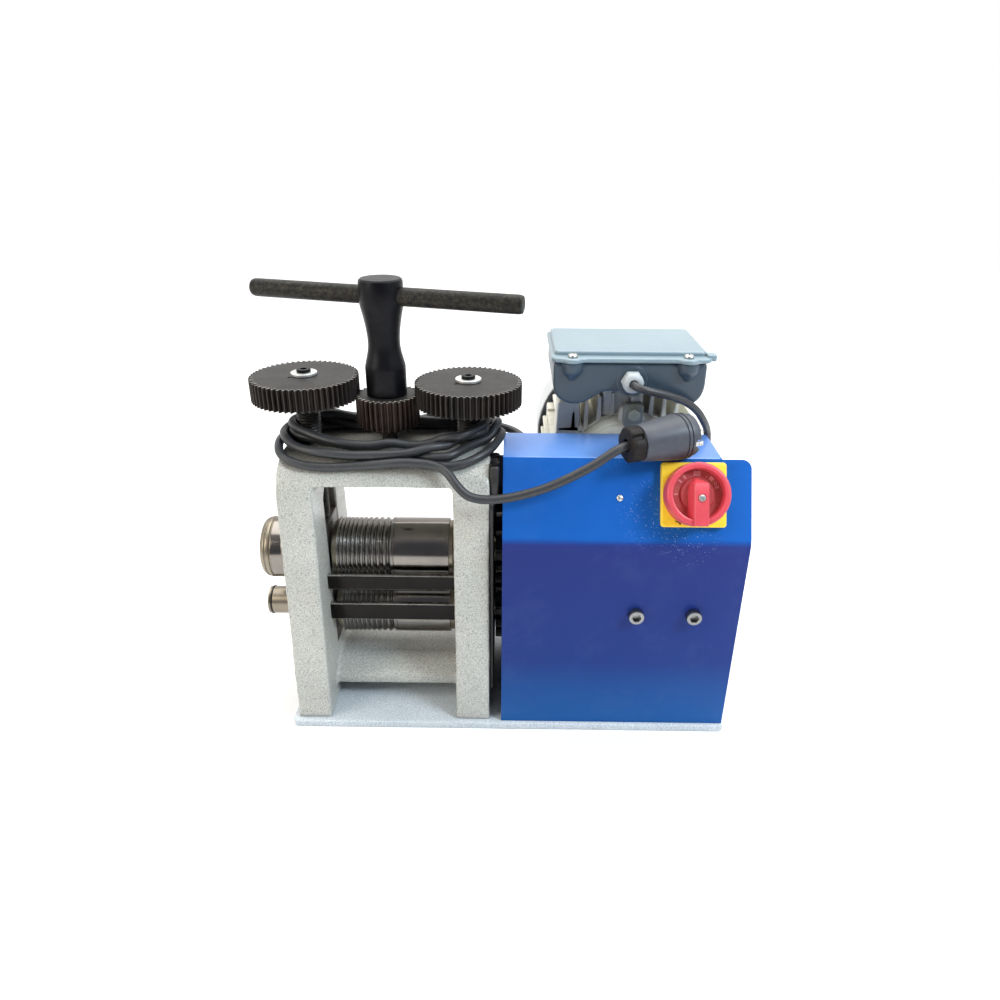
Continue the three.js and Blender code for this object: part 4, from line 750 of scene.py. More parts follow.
# ---------------------------------------------------------------- mains cord: gland, four turns round the screws, free end, plug
CORD_D = 8.5
CORD_ROUTE = [
    (136.0, 34.0, 262.0), (136.0, 43.0, 262.2), (134.9, 51.9, 263.0), (131.9, 60.1, 264.4), (126.4, 67.0, 266.3),
    (119.0, 71.6, 268.2), (110.5, 73.2, 270.3), (101.9, 72.4, 272.7), (93.6, 69.7, 275.1), (85.7, 66.2, 277.5),
    (77.7, 62.6, 279.6), (69.6, 59.1, 281.2), (61.2, 56.1, 282.3), (52.6, 53.6, 282.5), (43.8, 51.8, 282.2),
    (34.9, 50.4, 281.6), (26.1, 48.8, 281.4), (17.3, 47.1, 281.7), (8.4, 45.9, 281.9), (-0.6, 45.1, 282.1),
    (-9.6, 44.5, 282.3), (-18.5, 44.0, 282.5), (-27.5, 43.5, 282.7), (-36.5, 42.9, 283.0), (-45.4, 42.0, 283.3),
    (-54.3, 40.7, 283.8), (-62.9, 38.2, 284.3), (-71.1, 34.5, 284.9), (-78.8, 29.9, 285.3), (-85.9, 24.4, 285.4),
    (-91.9, 17.7, 285.4), (-96.2, 9.8, 285.4), (-98.2, 1.1, 285.4), (-97.6, -7.8, 285.4), (-95.0, -16.4, 285.4),
    (-90.3, -24.0, 285.4), (-83.3, -29.6, 285.3), (-75.7, -34.3, 284.9), (-67.4, -37.9, 284.3), (-58.7, -40.0, 283.8),
    (-49.9, -41.3, 283.4), (-40.9, -42.3, 283.0), (-32.0, -43.4, 282.6), (-23.1, -44.4, 282.3), (-14.1, -45.3, 281.9),
    (-5.2, -46.3, 281.4), (3.7, -47.6, 280.8), (12.5, -48.9, 280.1), (21.5, -49.9, 279.6), (30.4, -50.8, 279.0),
    (39.3, -51.9, 278.3), (48.2, -52.9, 277.6), (57.2, -53.3, 277.4), (66.1, -52.9, 277.6), (74.9, -51.2, 278.8),
    (82.9, -47.8, 280.7), (90.2, -43.0, 282.8), (96.4, -36.7, 284.5), (101.2, -29.2, 285.8), (104.9, -21.1, 287.1),
    (107.8, -12.7, 288.3), (110.1, -4.1, 289.1), (111.0, 4.8, 289.2), (108.4, 13.2, 288.0), (102.7, 20.0, 287.0),
    (95.7, 25.6, 286.3), (87.7, 29.7, 285.6), (79.2, 32.4, 285.2), (70.3, 34.0, 285.1), (61.4, 34.8, 285.1),
    (52.4, 35.2, 285.0), (43.4, 35.4, 284.8), (34.4, 35.9, 284.7), (25.5, 36.8, 284.5), (16.5, 37.3, 284.4),
    (7.5, 37.0, 284.5), (-1.4, 36.2, 284.6), (-10.4, 35.5, 284.8), (-19.4, 35.0, 284.8), (-28.4, 34.6, 284.9),
    (-37.3, 34.1, 285.0), (-46.3, 33.3, 285.1), (-55.1, 31.7, 285.2), (-63.6, 28.8, 285.4), (-71.4, 24.7, 286.8),
    (-79.0, 20.6, 289.5), (-86.2, 15.7, 291.6), (-92.0, 9.0, 292.8), (-94.8, 0.6, 293.1), (-92.6, -8.0, 292.4),
    (-86.3, -14.1, 291.3), (-77.9, -16.9, 290.4), (-69.2, -18.8, 289.3), (-60.4, -20.4, 288.2), (-51.6, -21.8, 287.0),
    (-42.7, -23.3, 286.1), (-33.9, -24.9, 285.5), (-25.1, -26.6, 285.4), (-16.3, -28.6, 285.3), (-7.6, -30.7, 285.3),
    (1.0, -33.3, 285.1), (9.6, -36.1, 284.7), (18.3, -38.1, 284.2), (27.0, -40.4, 283.6), (35.6, -42.8, 283.0),
    (44.3, -45.2, 282.9), (53.1, -46.6, 283.3), (61.8, -44.8, 284.1), (68.7, -39.3, 285.2), (74.1, -32.2, 285.7),
    (79.4, -24.9, 285.9), (85.2, -18.0, 286.1), (91.4, -11.5, 286.4), (97.7, -5.2, 287.5), (102.4, 1.7, 290.7),
    (104.6, 9.3, 294.9), (106.8, 17.8, 295.9), (106.4, 26.4, 293.5), (101.8, 33.5, 291.0), (94.3, 38.0, 289.0),
    (85.9, 40.6, 287.4), (77.1, 42.1, 286.1), (68.2, 43.1, 285.3), (59.2, 43.7, 285.0), (50.3, 44.0, 285.3),
    (41.3, 44.1, 286.4), (32.4, 44.3, 287.7), (23.6, 44.3, 289.1), (14.7, 43.6, 290.2), (5.8, 42.4, 291.0),
    (-3.1, 41.3, 291.5), (-12.0, 40.3, 292.0), (-21.0, 39.4, 292.3), (-29.9, 38.6, 292.7), (-38.9, 37.8, 293.4),
    (-47.7, 37.1, 294.7), (-56.4, 36.3, 296.9), (-64.9, 35.0, 299.7), (-73.2, 32.2, 301.3), (-81.2, 28.2, 300.6),
    (-88.5, 23.8, 298.0), (-95.2, 18.4, 295.2), (-100.4, 11.4, 293.4), (-103.1, 2.9, 292.4), (-102.8, -6.0, 292.2),
    (-100.4, -14.6, 292.5), (-96.8, -22.9, 292.5), (-91.8, -30.2, 291.3), (-85.5, -36.4, 289.7), (-78.1, -41.4, 288.8),
    (-70.1, -45.5, 288.7), (-61.7, -48.5, 288.6), (-52.8, -50.1, 288.2), (-43.9, -51.0, 287.6), (-34.9, -51.4, 287.1),
    (-26.0, -51.7, 286.9), (-17.0, -52.0, 287.0), (-8.0, -52.3, 287.4), (1.0, -52.2, 287.8), (10.0, -51.7, 288.1),
    (18.9, -50.7, 288.4), (27.7, -49.0, 289.2), (36.2, -46.5, 290.6), (44.4, -43.1, 291.7), (52.5, -39.2, 291.5),
    (59.7, -34.0, 290.7), (66.0, -27.8, 292.3), (73.0, -22.4, 293.8), (80.6, -17.7, 294.5), (88.2, -12.9, 294.9),
    (93.7, -5.9, 295.1), (95.0, 3.0, 294.9), (94.9, 11.9, 294.0), (92.6, 20.5, 293.5), (86.1, 26.5, 293.5),
    (77.5, 29.0, 293.1), (68.6, 29.2, 292.5), (59.6, 28.5, 292.1), (50.7, 27.6, 292.3), (41.8, 26.7, 293.2),
    (32.9, 25.7, 294.4), (24.0, 24.9, 295.5), (15.1, 25.1, 296.0), (6.1, 26.2, 295.8), (-2.8, 27.3, 295.2),
    (-11.7, 27.9, 294.9), (-20.7, 28.1, 294.9), (-29.7, 27.9, 295.6), (-38.5, 27.2, 297.0), (-47.2, 26.1, 298.9),
    (-56.0, 24.8, 300.4), (-64.9, 23.5, 300.7), (-73.6, 21.5, 300.4), (-81.9, 18.0, 300.6), (-89.1, 12.7, 301.1),
    (-93.9, 5.2, 301.6), (-94.3, -3.6, 301.4), (-90.1, -11.4, 300.5), (-83.6, -17.5, 299.5), (-76.4, -22.7, 298.3),
    (-68.7, -27.2, 297.1), (-60.6, -30.7, 295.6), (-52.2, -33.6, 294.2), (-43.5, -35.9, 293.3), (-34.7, -37.2, 292.5),
    (-25.7, -37.7, 291.9), (-16.8, -37.5, 291.4), (-7.8, -36.6, 291.8), (0.9, -34.9, 292.7), (9.6, -32.8, 292.1),
    (18.3, -31.6, 290.2), (27.2, -31.2, 289.3), (36.2, -31.1, 290.0), (44.9, -31.1, 292.1), (53.0, -31.6, 295.9),
    (61.2, -33.7, 298.7), (70.1, -33.9, 299.8), (77.9, -29.9, 301.2), (84.3, -23.7, 302.4), (89.5, -16.4, 303.2),
    (93.6, -8.4, 303.7), (96.1, 0.1, 303.5), (96.6, 9.1, 302.9), (93.9, 17.5, 302.4), (87.4, 23.6, 302.0),
    (79.0, 26.8, 301.7), (70.3, 28.9, 301.2), (61.6, 31.0, 300.3), (53.1, 33.3, 298.6), (44.5, 34.8, 296.3),
    (35.8, 34.8, 294.1), (27.1, 33.4, 292.3), (18.6, 31.4, 290.3), (10.0, 29.6, 288.2), (1.3, 28.1, 286.9),
    (-7.6, 27.1, 286.3), (-16.6, 26.4, 286.2), (-25.6, 26.1, 286.6), (-34.5, 26.0, 287.6), (-43.4, 26.2, 289.2),
    (-52.1, 26.8, 291.4), (-60.7, 28.2, 293.3), (-69.5, 30.0, 293.5), (-78.4, 31.3, 293.2), (-87.2, 30.3, 292.1),
    (-94.7, 26.1, 289.7), (-100.6, 19.8, 287.4), (-104.7, 12.0, 285.5), (-106.7, 3.4, 284.5), (-106.9, -5.6, 284.8),
    (-105.8, -14.5, 285.4), (-104.1, -23.3, 285.7), (-101.8, -32.0, 285.3), (-98.6, -40.3, 284.2), (-93.2, -47.1, 282.0),
    (-85.6, -51.0, 279.6), (-77.1, -53.2, 277.7), (-68.2, -54.5, 276.5), (-59.3, -55.1, 276.0), (-50.3, -55.1, 275.9),
    (-41.3, -54.9, 276.1), (-32.3, -54.8, 276.7), (-23.4, -55.1, 277.5), (-14.5, -55.7, 278.6), (-5.6, -56.6, 279.8),
    (3.2, -57.5, 281.0), (12.1, -58.2, 282.2), (21.1, -58.8, 282.9), (30.0, -59.4, 282.9), (39.0, -60.0, 282.6),
    (47.9, -61.2, 281.7), (56.2, -63.9, 279.8), (62.9, -68.6, 276.2), (68.2, -73.6, 270.9), (73.9, -77.4, 265.1),
    (80.7, -79.7, 259.8), (89.1, -80.3, 256.9), (98.1, -80.5, 256.1), (107.0, -80.5, 256.5), (116.0, -80.3, 257.6),
    (124.8, -79.9, 259.3), (133.5, -79.4, 261.5), (142.1, -78.9, 263.9), (150.6, -78.3, 266.7), (159.0, -77.8, 270.1),
    (167.1, -77.5, 274.0), (175.1, -77.0, 278.0), (183.0, -76.3, 282.2), (190.9, -75.4, 286.5), (198.5, -74.0, 291.0),
    (205.9, -72.0, 295.8), (213.4, -69.8, 300.2), (221.3, -67.2, 303.5), (229.6, -64.1, 305.0)
]
PLUG_FROM = Vector((230, -64, 305))
PLUG_TO = Vector((293, -40, 307.6))
PLUG_AXIS = (PLUG_TO - PLUG_FROM).normalized()
PLUG_SIDE = PLUG_AXIS.cross(Vector((0, 0, 1))).normalized()  # towards the operator
PLUG_UP = PLUG_SIDE.cross(PLUG_AXIS).normalized()


def on_plug(u, v, h):
    """Point of the plug: u to the operator's side, v up, h along it from the cord end."""
    return PLUG_FROM + PLUG_SIDE * u + PLUG_UP * v + PLUG_AXIS * h


route = smooth_path(CORD_ROUTE, 3.0)
cord = tube("mains_cord", route, CORD_D, RUBBER, 7)
on(cord, "frame", "mains_cord_tail", "mains_cord_winding", "mains_cord_free")


def loft(name, rings, mat, angle=34.0, place=None, caps=True):
    """Skin over rings of (u, v, h) points of equal number."""
    bm = bmesh.new()
    put = place or (lambda u, v, h: (u, v, h))
    rows = [[bm.verts.new(W(put(*p))) for p in ring] for ring in rings]
    n = len(rings[0])
    for p, q in zip(rows, rows[1:]):
        for i in range(n):
            bm.faces.new([p[i], p[(i + 1) % n], q[(i + 1) % n], q[i]])
    if caps:
        bm.faces.new(rows[0])
        bm.faces.new(rows[-1])
    return finish_mesh(name, bm, mat, angle)


def squircle(r, flat, n=48, power=2.0, turn=0.0):
    """Round section with flatter top and bottom."""
    out = []
    for i in range(n):
        a = 2 * math.pi * i / n + turn
        c, s = math.cos(a), math.sin(a)
        u = abs(c) ** (2 / power) * math.copysign(1, c) * r
        v = abs(s) ** (2 / power) * math.copysign(1, s) * r * flat
        out.append((u, v))
    return out


def make_plug():
    # Collar: thick rubber disc with flat facets and a bore for the cord.
    rings = []
    section = []
    for i in range(64):
        a = 2 * math.pi * i / 64
        f = abs(((a / (2 * math.pi) * 7 + 0.15) % 1.0) - 0.5) * 2
        r = 16.9 - 1.7 * max(0.0, f - 0.25)
        if 0.60 < a < 0.95:
            r -= 2.6
        section.append((r * math.cos(a), r * math.sin(a)))
    for h, k in ((-6.5, 0.36), (-6.5, 0.86), (-6.2, 0.93), (-5.2, 0.985), (-3.5, 1.0), (3.6, 1.0), (5.0, 0.985), (5.8, 0.95)):
        if k < 0.4:
            rings.append([(6.1 * math.cos(2 * math.pi * i / 64), 6.1 * math.sin(2 * math.pi * i / 64), h) for i in range(64)])
        else:
            rings.append([(u * k, v * k, h) for u, v in section])
    well = [[(6.1 * math.cos(2 * math.pi * i / 64), 6.1 * math.sin(2 * math.pi * i / 64), 1.2) for i in range(64)]]
    collar = loft("plug_collar_detail", well + rings, COLLAR, 38, on_plug)
    on(collar, "frame", "plug_collar")
    # Body: flares towards the pins, two ring grooves, a shorter end ring with a bite.
    stations = [
        (4.8, 15.6, 2.0, 1.0),
        (5.4, 16.6, 2.1, 1.0),
        (8.0, 17.1, 2.2, 0.99),
        (16.0, 17.9, 2.4, 0.975),
        (28.0, 19.2, 2.5, 0.965),
        (40.0, 20.5, 2.5, 0.965),
        (47.5, 21.1, 2.4, 0.975),
        (49.4, 21.2, 2.3, 0.98),
        (50.0, 20.3, 2.2, 0.99),
        (50.9, 20.3, 2.2, 0.99),
        (51.5, 21.3, 2.2, 0.99),
        (53.9, 21.3, 2.2, 0.99),
        (54.5, 20.2, 2.1, 1.0),
        (55.6, 20.2, 2.1, 1.0),
        (56.2, 21.1, 2.1, 1.0),
        (58.4, 21.1, 2.1, 1.0),
        (59.0, 19.9, 2.0, 1.0),
        (64.6, 19.6, 2.0, 1.0),
        (66.3, 18.8, 2.0, 1.0),
        (67.1, 17.0, 2.0, 1.0),
    ]
    rings = [[(u, v, 6.2 + (h - 4.8) * 0.87) for u, v in squircle(r, f, 64, p)] for h, r, p, f in stations]
    body = loft("plug_body_detail", rings, PLUG_RUBBER, 40, on_plug)
    bite = loft(
        "bite",
        [[(u, v, h) for u, v in ((12, -8), (26, -10), (26, 3), (12, 1))] for h in (54.8, 62)],
        None,
        30,
        on_plug,
    )
    ribs = []
    for a in (196, 210, 224, 238):
        c, s = math.cos(rad(a)), math.sin(rad(a))
        ribs.append(
            loft(
                "rib",
                [
                    [(c * r - s * w, s * r + c * w, h) for r, w in ((15, -0.7), (q, -0.55), (q, 0.55), (15, 0.7))]
                    for h, q in ((14, 17.4), (17, 18.6), (32, 20.3), (35, 19.6))
                ],
                PLUG_RUBBER,
                30,
                on_plug,
            )
        )
    cut(body, bite, angle=40)
    together(body, *ribs)
    on(body, "frame", "plug_body")
    # Earth clip at the side of the pin end.
    clip = loft(
        "plug_earth_clip",
        [[(u, v, h) for u, v in ((19.9, -3.2), (20.9, -3.2), (20.9, 1.0), (19.9, 1.0))] for h in (52.4, 53.4, 56, 59.6, 60.4)],
        ZINC,
        40,
        on_plug,
    )
    clip2 = loft(
        "clip_bead",
        [[(20.3 + 1.3 * math.cos(t), -1.1 + 1.3 * math.sin(t), h) for t in [2 * math.pi * i / 16 for i in range(16)]] for h in (56.6, 57.0, 59.2, 59.6)],
        ZINC,
        40,
        on_plug,
    )
    together(clip, clip2)
    on(clip, "frame", slot="zinc")
    return collar, body, clip


plug_collar, plug_body, plug_clip = make_plug()
tuple(W((136, 34, 262)))

# Gland in the rear cover, with a tapered strain relief in one piece with its nut.
gland = plate("mains_gland_nut", soften(circle(136, 262, 10, 6), 0.8, 3, True), "xz", 20.3, 28, GLAND, bevel=0.6)
relief = lathe(
    "relief",
    [(0, 12.4), (7.4, 12.4), (7.4, 27.5), (8.6, 27.5), (8.9, 30.5), (8.4, 31.2), (7.9, 31.2), (7.7, 34), (6.9, 34.4), (6.7, 37), (7.2, 37.4), (7.0, 40)]
    + [(6.2, 40.4), (6.0, 43), (6.5, 43.4), (6.2, 46), (5.4, 46.6), (5.2, 50), (4.6, 50.2), (0, 50.2)],
    "y",
    (136, 262.1),
    GLAND,
    40,
    r=0.4,
)
together(gland, relief)
on(gland, "frame", "mains_gland")
# ---------------------------------------------------------------- base plate and casting
on(plate("base_plate_detail", round_rect(-106, 346, -89, 225, 5), "xy", -8, 0, PLATE, bevel=1.4, steps=3), "frame", "base_plate")

SHOULDER = arc(28.5, 243, 38, 0, 90, 16) + arc(-28.5, 243, 38, 90, 180, 16)
BEAM = [(-50, 18), (50, 18), (50, 31), (24, 43.5), (-24, 43.5), (-50, 31)]


def solid_outline(name, outline, plane, lo, hi):
    return plate(name, outline, plane, lo, hi, None, bevel=0.05, steps=1)


def make_casting():
    side = [(-84, 0.3), (84, 0.3)] + SHOULDER
    win = [(-25, 54), (25, 54)] + arc(9, 222, 16, 0, 90, 8) + arc(-9, 222, 16, 90, 180, 8)
    bridge = [(-63.3, 258), (63.3, 258)] + [p for p in SHOULDER if p[1] > 259]
    parts = [
        plate("cheek_a", side, "yz", 66, 100.5, holes=[win], bevel=0.05, steps=1),
        plate("cheek_b", side, "yz", -100.5, -66, holes=[win], bevel=0.05, steps=1),
        solid_outline("bridge", bridge, "yz", -70, 70),
        solid_outline("beam", BEAM, "yz", -70, 70),
    ]
    for s in (-1, 1):
        # Fillets between bridge and cheeks, beam and cheeks.
        c = [(s * 68, 260), (s * 54, 260)] + [(s * (54 + 12 * math.sin(rad(a))), 246 + 12 * math.cos(rad(a))) for a in range(0, 91, 10)] + [(s * 68, 246)]
        parts.append(solid_outline("gusset", c, "xz", -55, 55))
        c = [(s * 68, 42), (s * 60, 42)] + [(s * (60 + 6 * math.sin(rad(a))), 49 - 6 * math.cos(rad(a))) for a in range(0, 91, 15)] + [(s * 68, 49)]
        parts.append(solid_outline("gusset", c, "xz", -24, 24))
        # Bosses for the pressure screws on top.
        parts.append(rod("boss", 19, 276, 281.2, "z", (s * 78.75, 0), None, 48))
    ob = together(*parts)
    ob.name = "mill_frame_detail"
    m = ob.modifiers.new("r", "REMESH")
    m.mode = "VOXEL"
    m.voxel_size = 0.0017
    s = ob.modifiers.new("s", "SMOOTH")
    s.factor = 0.5
    s.iterations = 11
    evaluated(ob)
    from mathutils import noise

    normals = [v.normal.copy() for v in ob.data.vertices]
    for v, out in zip(ob.data.vertices, normals):
        q = v.co * 42
        d = noise.noise(q) * 0.38 + noise.noise(q * 3.1) * 0.16
        c = (v.co - OFF) / MM
        if abs(c.y) < 27 and 52 < c.z < 240 and abs(c.x) > 64:
            d *= 0.1
        elif c.z > 270:
            d *= 0.6
        p = v.co + out * (d * MM)
        p.z = max(p.z, OFF.z + 0.0003)
        v.co = p
    ob.data.update()
    ob.data.materials.clear()
    ob.data.materials.append(CASTING)
    cutters = [
        rod("c", 12, 234, 290, "z", (-78.75, 0), None, 48),
        rod("c", 12, 234, 290, "z", (78.75, 0), None, 48),
        rod("c", 8, 250, 290, "z", (0, 0), None, 40),
    ]
    for z0, z1 in ((132.7, 150.3), (96.1, 116.1)):
        cutters.append(block("c", -70, 70, -42.8, -36.6, z0, z1, None, 0))
    cut(ob, *cutters, angle=38)

    def machined(c, n):
        inside = 64 < abs(c.x) < 101.5 and abs(c.y) < 25.6 and 53.6 < c.z < 238.6
        bore = abs(abs(c.x) - 78.75) < 12.3 and abs(c.y) < 12.3 and c.z > 236 and abs(n.z) < 0.3
        return (inside and abs(n.x) < 0.3) or bore

    paint_faces(ob, BLOCK_IRON, machined)
    return ob


on(make_casting(), "frame", "mill_frame")

# Dark plate on the outside of the right cheek, a dark sheet behind the gears that stands in for the shade in the gap by
# the cover, and the block under the winding.
on(
    plate(
        "gear_backing_plate_detail",
        round_rect(-66, 66, 24, 244, 6),
        "yz",
        101.1,
        104.3,
        DARK,
        holes=[circle(0, 92.5, 18, 40), arc(0, 164, 18, 0, 180, 20) + arc(0, 156, 18, 180, 360, 20)],
        bevel=0.5,
    ),
    "frame",
    "gear_backing_plate",
)
on(block("backing_plate_return_as_gap_shade", 103.8, 112.4, 59.5, 62.5, 26, 242, DARK, 0.8, 3), "frame", slot=None)
bracket = block("cover_bracket_detail", 101, 109.3, -60, -24, 250, 279, DARK, 2.4, 3)
for y in (-52, -32):
    together(bracket, lathe("head", [(0, 278.6), (4.6, 278.6), (4.6, 281.2), (0, 281.6)], "z", (105.2, y), OXIDE, 24, r=0.3))
on(bracket, "frame", "cover_bracket")

# ---------------------------------------------------------------- bearing blocks
for side, x0, x1 in (("right", 66.3, 100), ("left", -100, -66.3)):
    for level, z0, z1, zc, body in (("lower", 54.3, 124, 92.5, "frame"), ("upper", 128.5, 196, 160, "carriage")):
        b = plate(
            f"{level}_block_{side}_detail",
            [(-24.5, z0), (24.5, z0), (24.5, z1), (-24.5, z1)],
            "yz",
            x0,
            x1,
            BLOCK_IRON,
            holes=[circle(0, zc, 15.3, 48)],
            bevel=1.0,
            steps=2,
        )
        on(b, body, f"{level}_block_{side}")

# ---------------------------------------------------------------- rolls
PITCHES = [3.5, 3.7, 4.0, 4.3, 4.6, 4.9, 5.3, 5.7, 6.1, 6.6, 7.0]


def roll_profile(left, left_r, right):
    pts = [(0, left), (left_r, left)]
    if left_r < 15:
        pts += [(left_r, -102), (15, -102)]
    pts += [(15, -65.2), (23.5, -65.2), (23.5, -62.6), (30, -62.6), (30, -58.8), (32.5, -58.8)]
    x = -57.4
    for p in PITCHES:
        w = p * 0.78
        c = x + p / 2
        pts += [(32.5, c - w / 2), (32.5 - w * 0.47, c - 0.25), (32.5 - w * 0.47, c + 0.25), (32.5, c + w / 2)]
        x += p
    pts += [(32.5, 0.4), (31.9, 0.5), (31.9, 1.1), (32.5, 1.2), (32.5, 57.5), (30, 57.5), (30, 61.6), (23.5, 61.6), (23.5, 65.2), (15, 65.2), (15, 101.5), (13, 101.5), (13, right), (0, right)]
    return pts


for name, left, left_r, right, zc, body in (
    ("upper_roll", -136, 11, 131, 160, "upper_roll_set"),
    ("lower_roll", -142, 15, 152, 92.5, "lower_roll_set"),
):
    profile = roll_profile(left, left_r, right)
    if name == "lower_roll":
        i = profile.index((15, -65.2))
        profile[i:i] = [(15, -139.6), (13.1, -139.6), (13.1, -137.6), (15, -137.6)]
    ob = lathe(name + "_detail", profile, "x", (0, zc), ROLL_STEEL, 112, r=0.35, angle=28)
    paint_faces(ob, GROOVE_STEEL, lambda c, n: c.x < 0.3 and abs(c.x) < 58.9 and math.hypot(c.y, c.z - zc) > 24)
    paint_faces(ob, SHAFT_STEEL, lambda c, n: math.hypot(c.y, c.z - zc) < 29.9 or abs(c.x) > 57.6)
    on(ob, body, name)
    # Centre drilled in the left end.
    cone = lathe("centre_" + name, [(0, left - 0.02), (2.6, left - 0.02), (3.2, left - 0.35), (3.2, left - 0.5), (0, left - 0.5)], "x", (0, zc), DARK, 24)
    together(ob, cone)

side_roll = lathe(
    "side_roll_detail",
    [
        (11.3, -134),
        (17.5, -134),
        (19.5, -138),
        (26.5, -138),
        (29.4, -137),
        (31.3, -134.2),
        (31.7, -133),
        (31.1, -132.6),
        (31.1, -131.8),
        (32.2, -131.2),
        (32.5, -127.6),
        (31.7, -127.2),
        (31.7, -126.2),
        (32.5, -125.8),
        (32.5, -114.2),
        (33.2, -113.4),
        (36, -112.4),
        (36, -105.6),
        (34.8, -104.4),
        (33, -102.6),
        (11.3, -102.6),
    ],
    "x",
    (0, 160),
    SHAFT_STEEL,
    96,
    closed=True,
    r=0.8,
    angle=28,
)
paint_faces(side_roll, ROLL_STEEL, lambda c, n: abs(n.x) < 0.6 and math.hypot(c.y, c.z - 160) > 31.9 and c.x > -126)
on(side_roll, "upper_roll_set", "side_roll")

clip_ring = [(math.cos(rad(a)) * 15.7, 92.5 + math.sin(rad(a)) * 15.7) for a in range(-70, 251, 8)] + [
    (math.cos(rad(a)) * 13.3, 92.5 + math.sin(rad(a)) * 13.3) for a in range(250, -71, -8)
]
on(plate("shaft_circlip_detail", clip_ring, "yz", -139.3, -137.9, DARK, bevel=0.2, steps=1), "lower_roll_set", "shaft_circlip")

for name, z0, z1 in (("guide_bar_upper", 133, 150), ("guide_bar_lower", 96.4, 115.8)):
    ob = block(name + "_detail", -69.7, 69.7, -42.5, -37.3, z0, z1, BAR_STEEL, 1.5, 4)
    # The bars' top, bottom and rounded edge faces take the pale metal as painted highlight lines.
    paint_faces(ob, EDGE_GLINT_STEEL, lambda c, n: abs(n.y) < 0.96 and abs(n.x) < 0.5)
    on(ob, "frame", name)

# ---------------------------------------------------------------- adjustment gears, screws, handle
for side, sx, top, turn, body in (("left", -78.75, 348.5, 180 / 57, "left_screw_set"), ("right", 78.75, 343.5, 180.0, "right_screw_set")):
    outer = 1.75 * 57 / 2 + 1.75
    g = plate(
        f"{side}_gear_detail", gear(1.75, 57, sx, 0, turn, 0.06), "xy", top - 22, top, GEAR_DARK, holes=[circle(sx, 0, 8.3, 40)], bevel=0.2, steps=1, angle=30
    )

    def reach(c, sx=sx):
        return math.hypot(c.x - sx, c.y)

    paint_faces(g, GEAR_TOP, lambda c, n: abs(n.z) > 0.98)
    paint_faces(g, GEAR_LAND, lambda c, n: abs(n.z) < 0.2 and reach(c) > outer - 0.05)
    # Top chamfers of the teeth: pale metal as wear and painted highlight.
    paint_faces(g, GEAR_EDGE_GLINT, lambda c, n: 0.3 < abs(n.z) < 0.95 and reach(c) > 46)
    dowel = rod("dowel", 1.7, top - 3, top + 1, "z", (sx - 11.6, -10.2), None, 20)
    mats = list(g.data.materials)
    cut(g, dowel, angle=30)
    on(g, body, f"{side}_gear")
    w = lathe(
        f"{side}_gear_washer_detail", [(3.5, top + 0.3), (12.5, top + 0.3), (12.5, top + 2.8), (3.5, top + 2.8)], "z", (sx, 0), WASHER, 64, closed=True, r=0.5
    )
    on(w, body, f"{side}_gear_washer")
    head = lathe(
        f"{side}_gear_bolt_detail", [(0, top - 12), (3, top - 12), (3, top + 3.1), (6.75, top + 3.1), (6.75, top + 5.8), (0, top + 5.8)], "z", (sx, 0), OXIDE, 40, r=0.5
    )
    cut(head, solid_outline("hex", circle(sx, 0, 3.4, 6, 15), "xy", top + 3.8, top + 9))
    on(head, body, f"{side}_gear_bolt")
    screw = threaded(f"{side}_screw_detail", 11.5, 1.15, 3.0, 199.4, top - 22.3, (sx, 0), THREAD)
    tip = lathe("tip", [(0, 196.3), (9.6, 196.3), (10.4, 197.2), (10.4, 199.6), (0, 199.6)], "z", (sx, 0), THREAD, 40)
    spigot = lathe("spigot", [(0, top - 22.5), (8, top - 22.5), (8, top - 0.5), (3.3, top - 0.5), (3.3, top - 14), (0, top - 14)], "z", (sx, 0), THREAD, 40)
    together(screw, tip, spigot)
    on(screw, body, f"{side}_screw")

pin = plate("pinion_detail", gear(1.75, 33, 0, 0, 180.0, 0.06), "xy", 301, 330.5, PINION_DARK, holes=[circle(0, 0, 7.8, 40)], bevel=0.25, steps=1, angle=30)
pin_outer = 1.75 * 33 / 2 + 1.75
paint_faces(pin, GEAR_TOP, lambda c, n: abs(n.z) > 0.98)
paint_faces(pin, GEAR_LAND, lambda c, n: abs(n.z) < 0.2 and math.hypot(c.x, c.y) > pin_outer - 0.06)
# Top chamfers of the teeth: pale metal as wear and painted highlight.
paint_faces(pin, GEAR_EDGE_GLINT, lambda c, n: 0.3 < abs(n.z) < 0.95 and math.hypot(c.x, c.y) > 24)
on(pin, "handle", "pinion")
on(lathe("spindle_detail", [(0, 262.5), (7.5, 262.5), (7.5, 352), (0, 352)], "z", (0, 0), THREAD, 48, r=0.8), "handle", "spindle")

BAR_TURN = -16.3


def spin_z(ob, deg):
    m = Matrix.Rotation(rad(deg), 4, "Z")
    for v in ob.data.vertices:
        v.co = m @ (v.co - OFF) + OFF
    return ob


def spin_about(ob, at, deg):
    m = Matrix.Rotation(rad(deg), 4, "Z")
    c = W((*at, 0))
    for v in ob.data.vertices:
        v.co = m @ (v.co - c) + c
    return ob


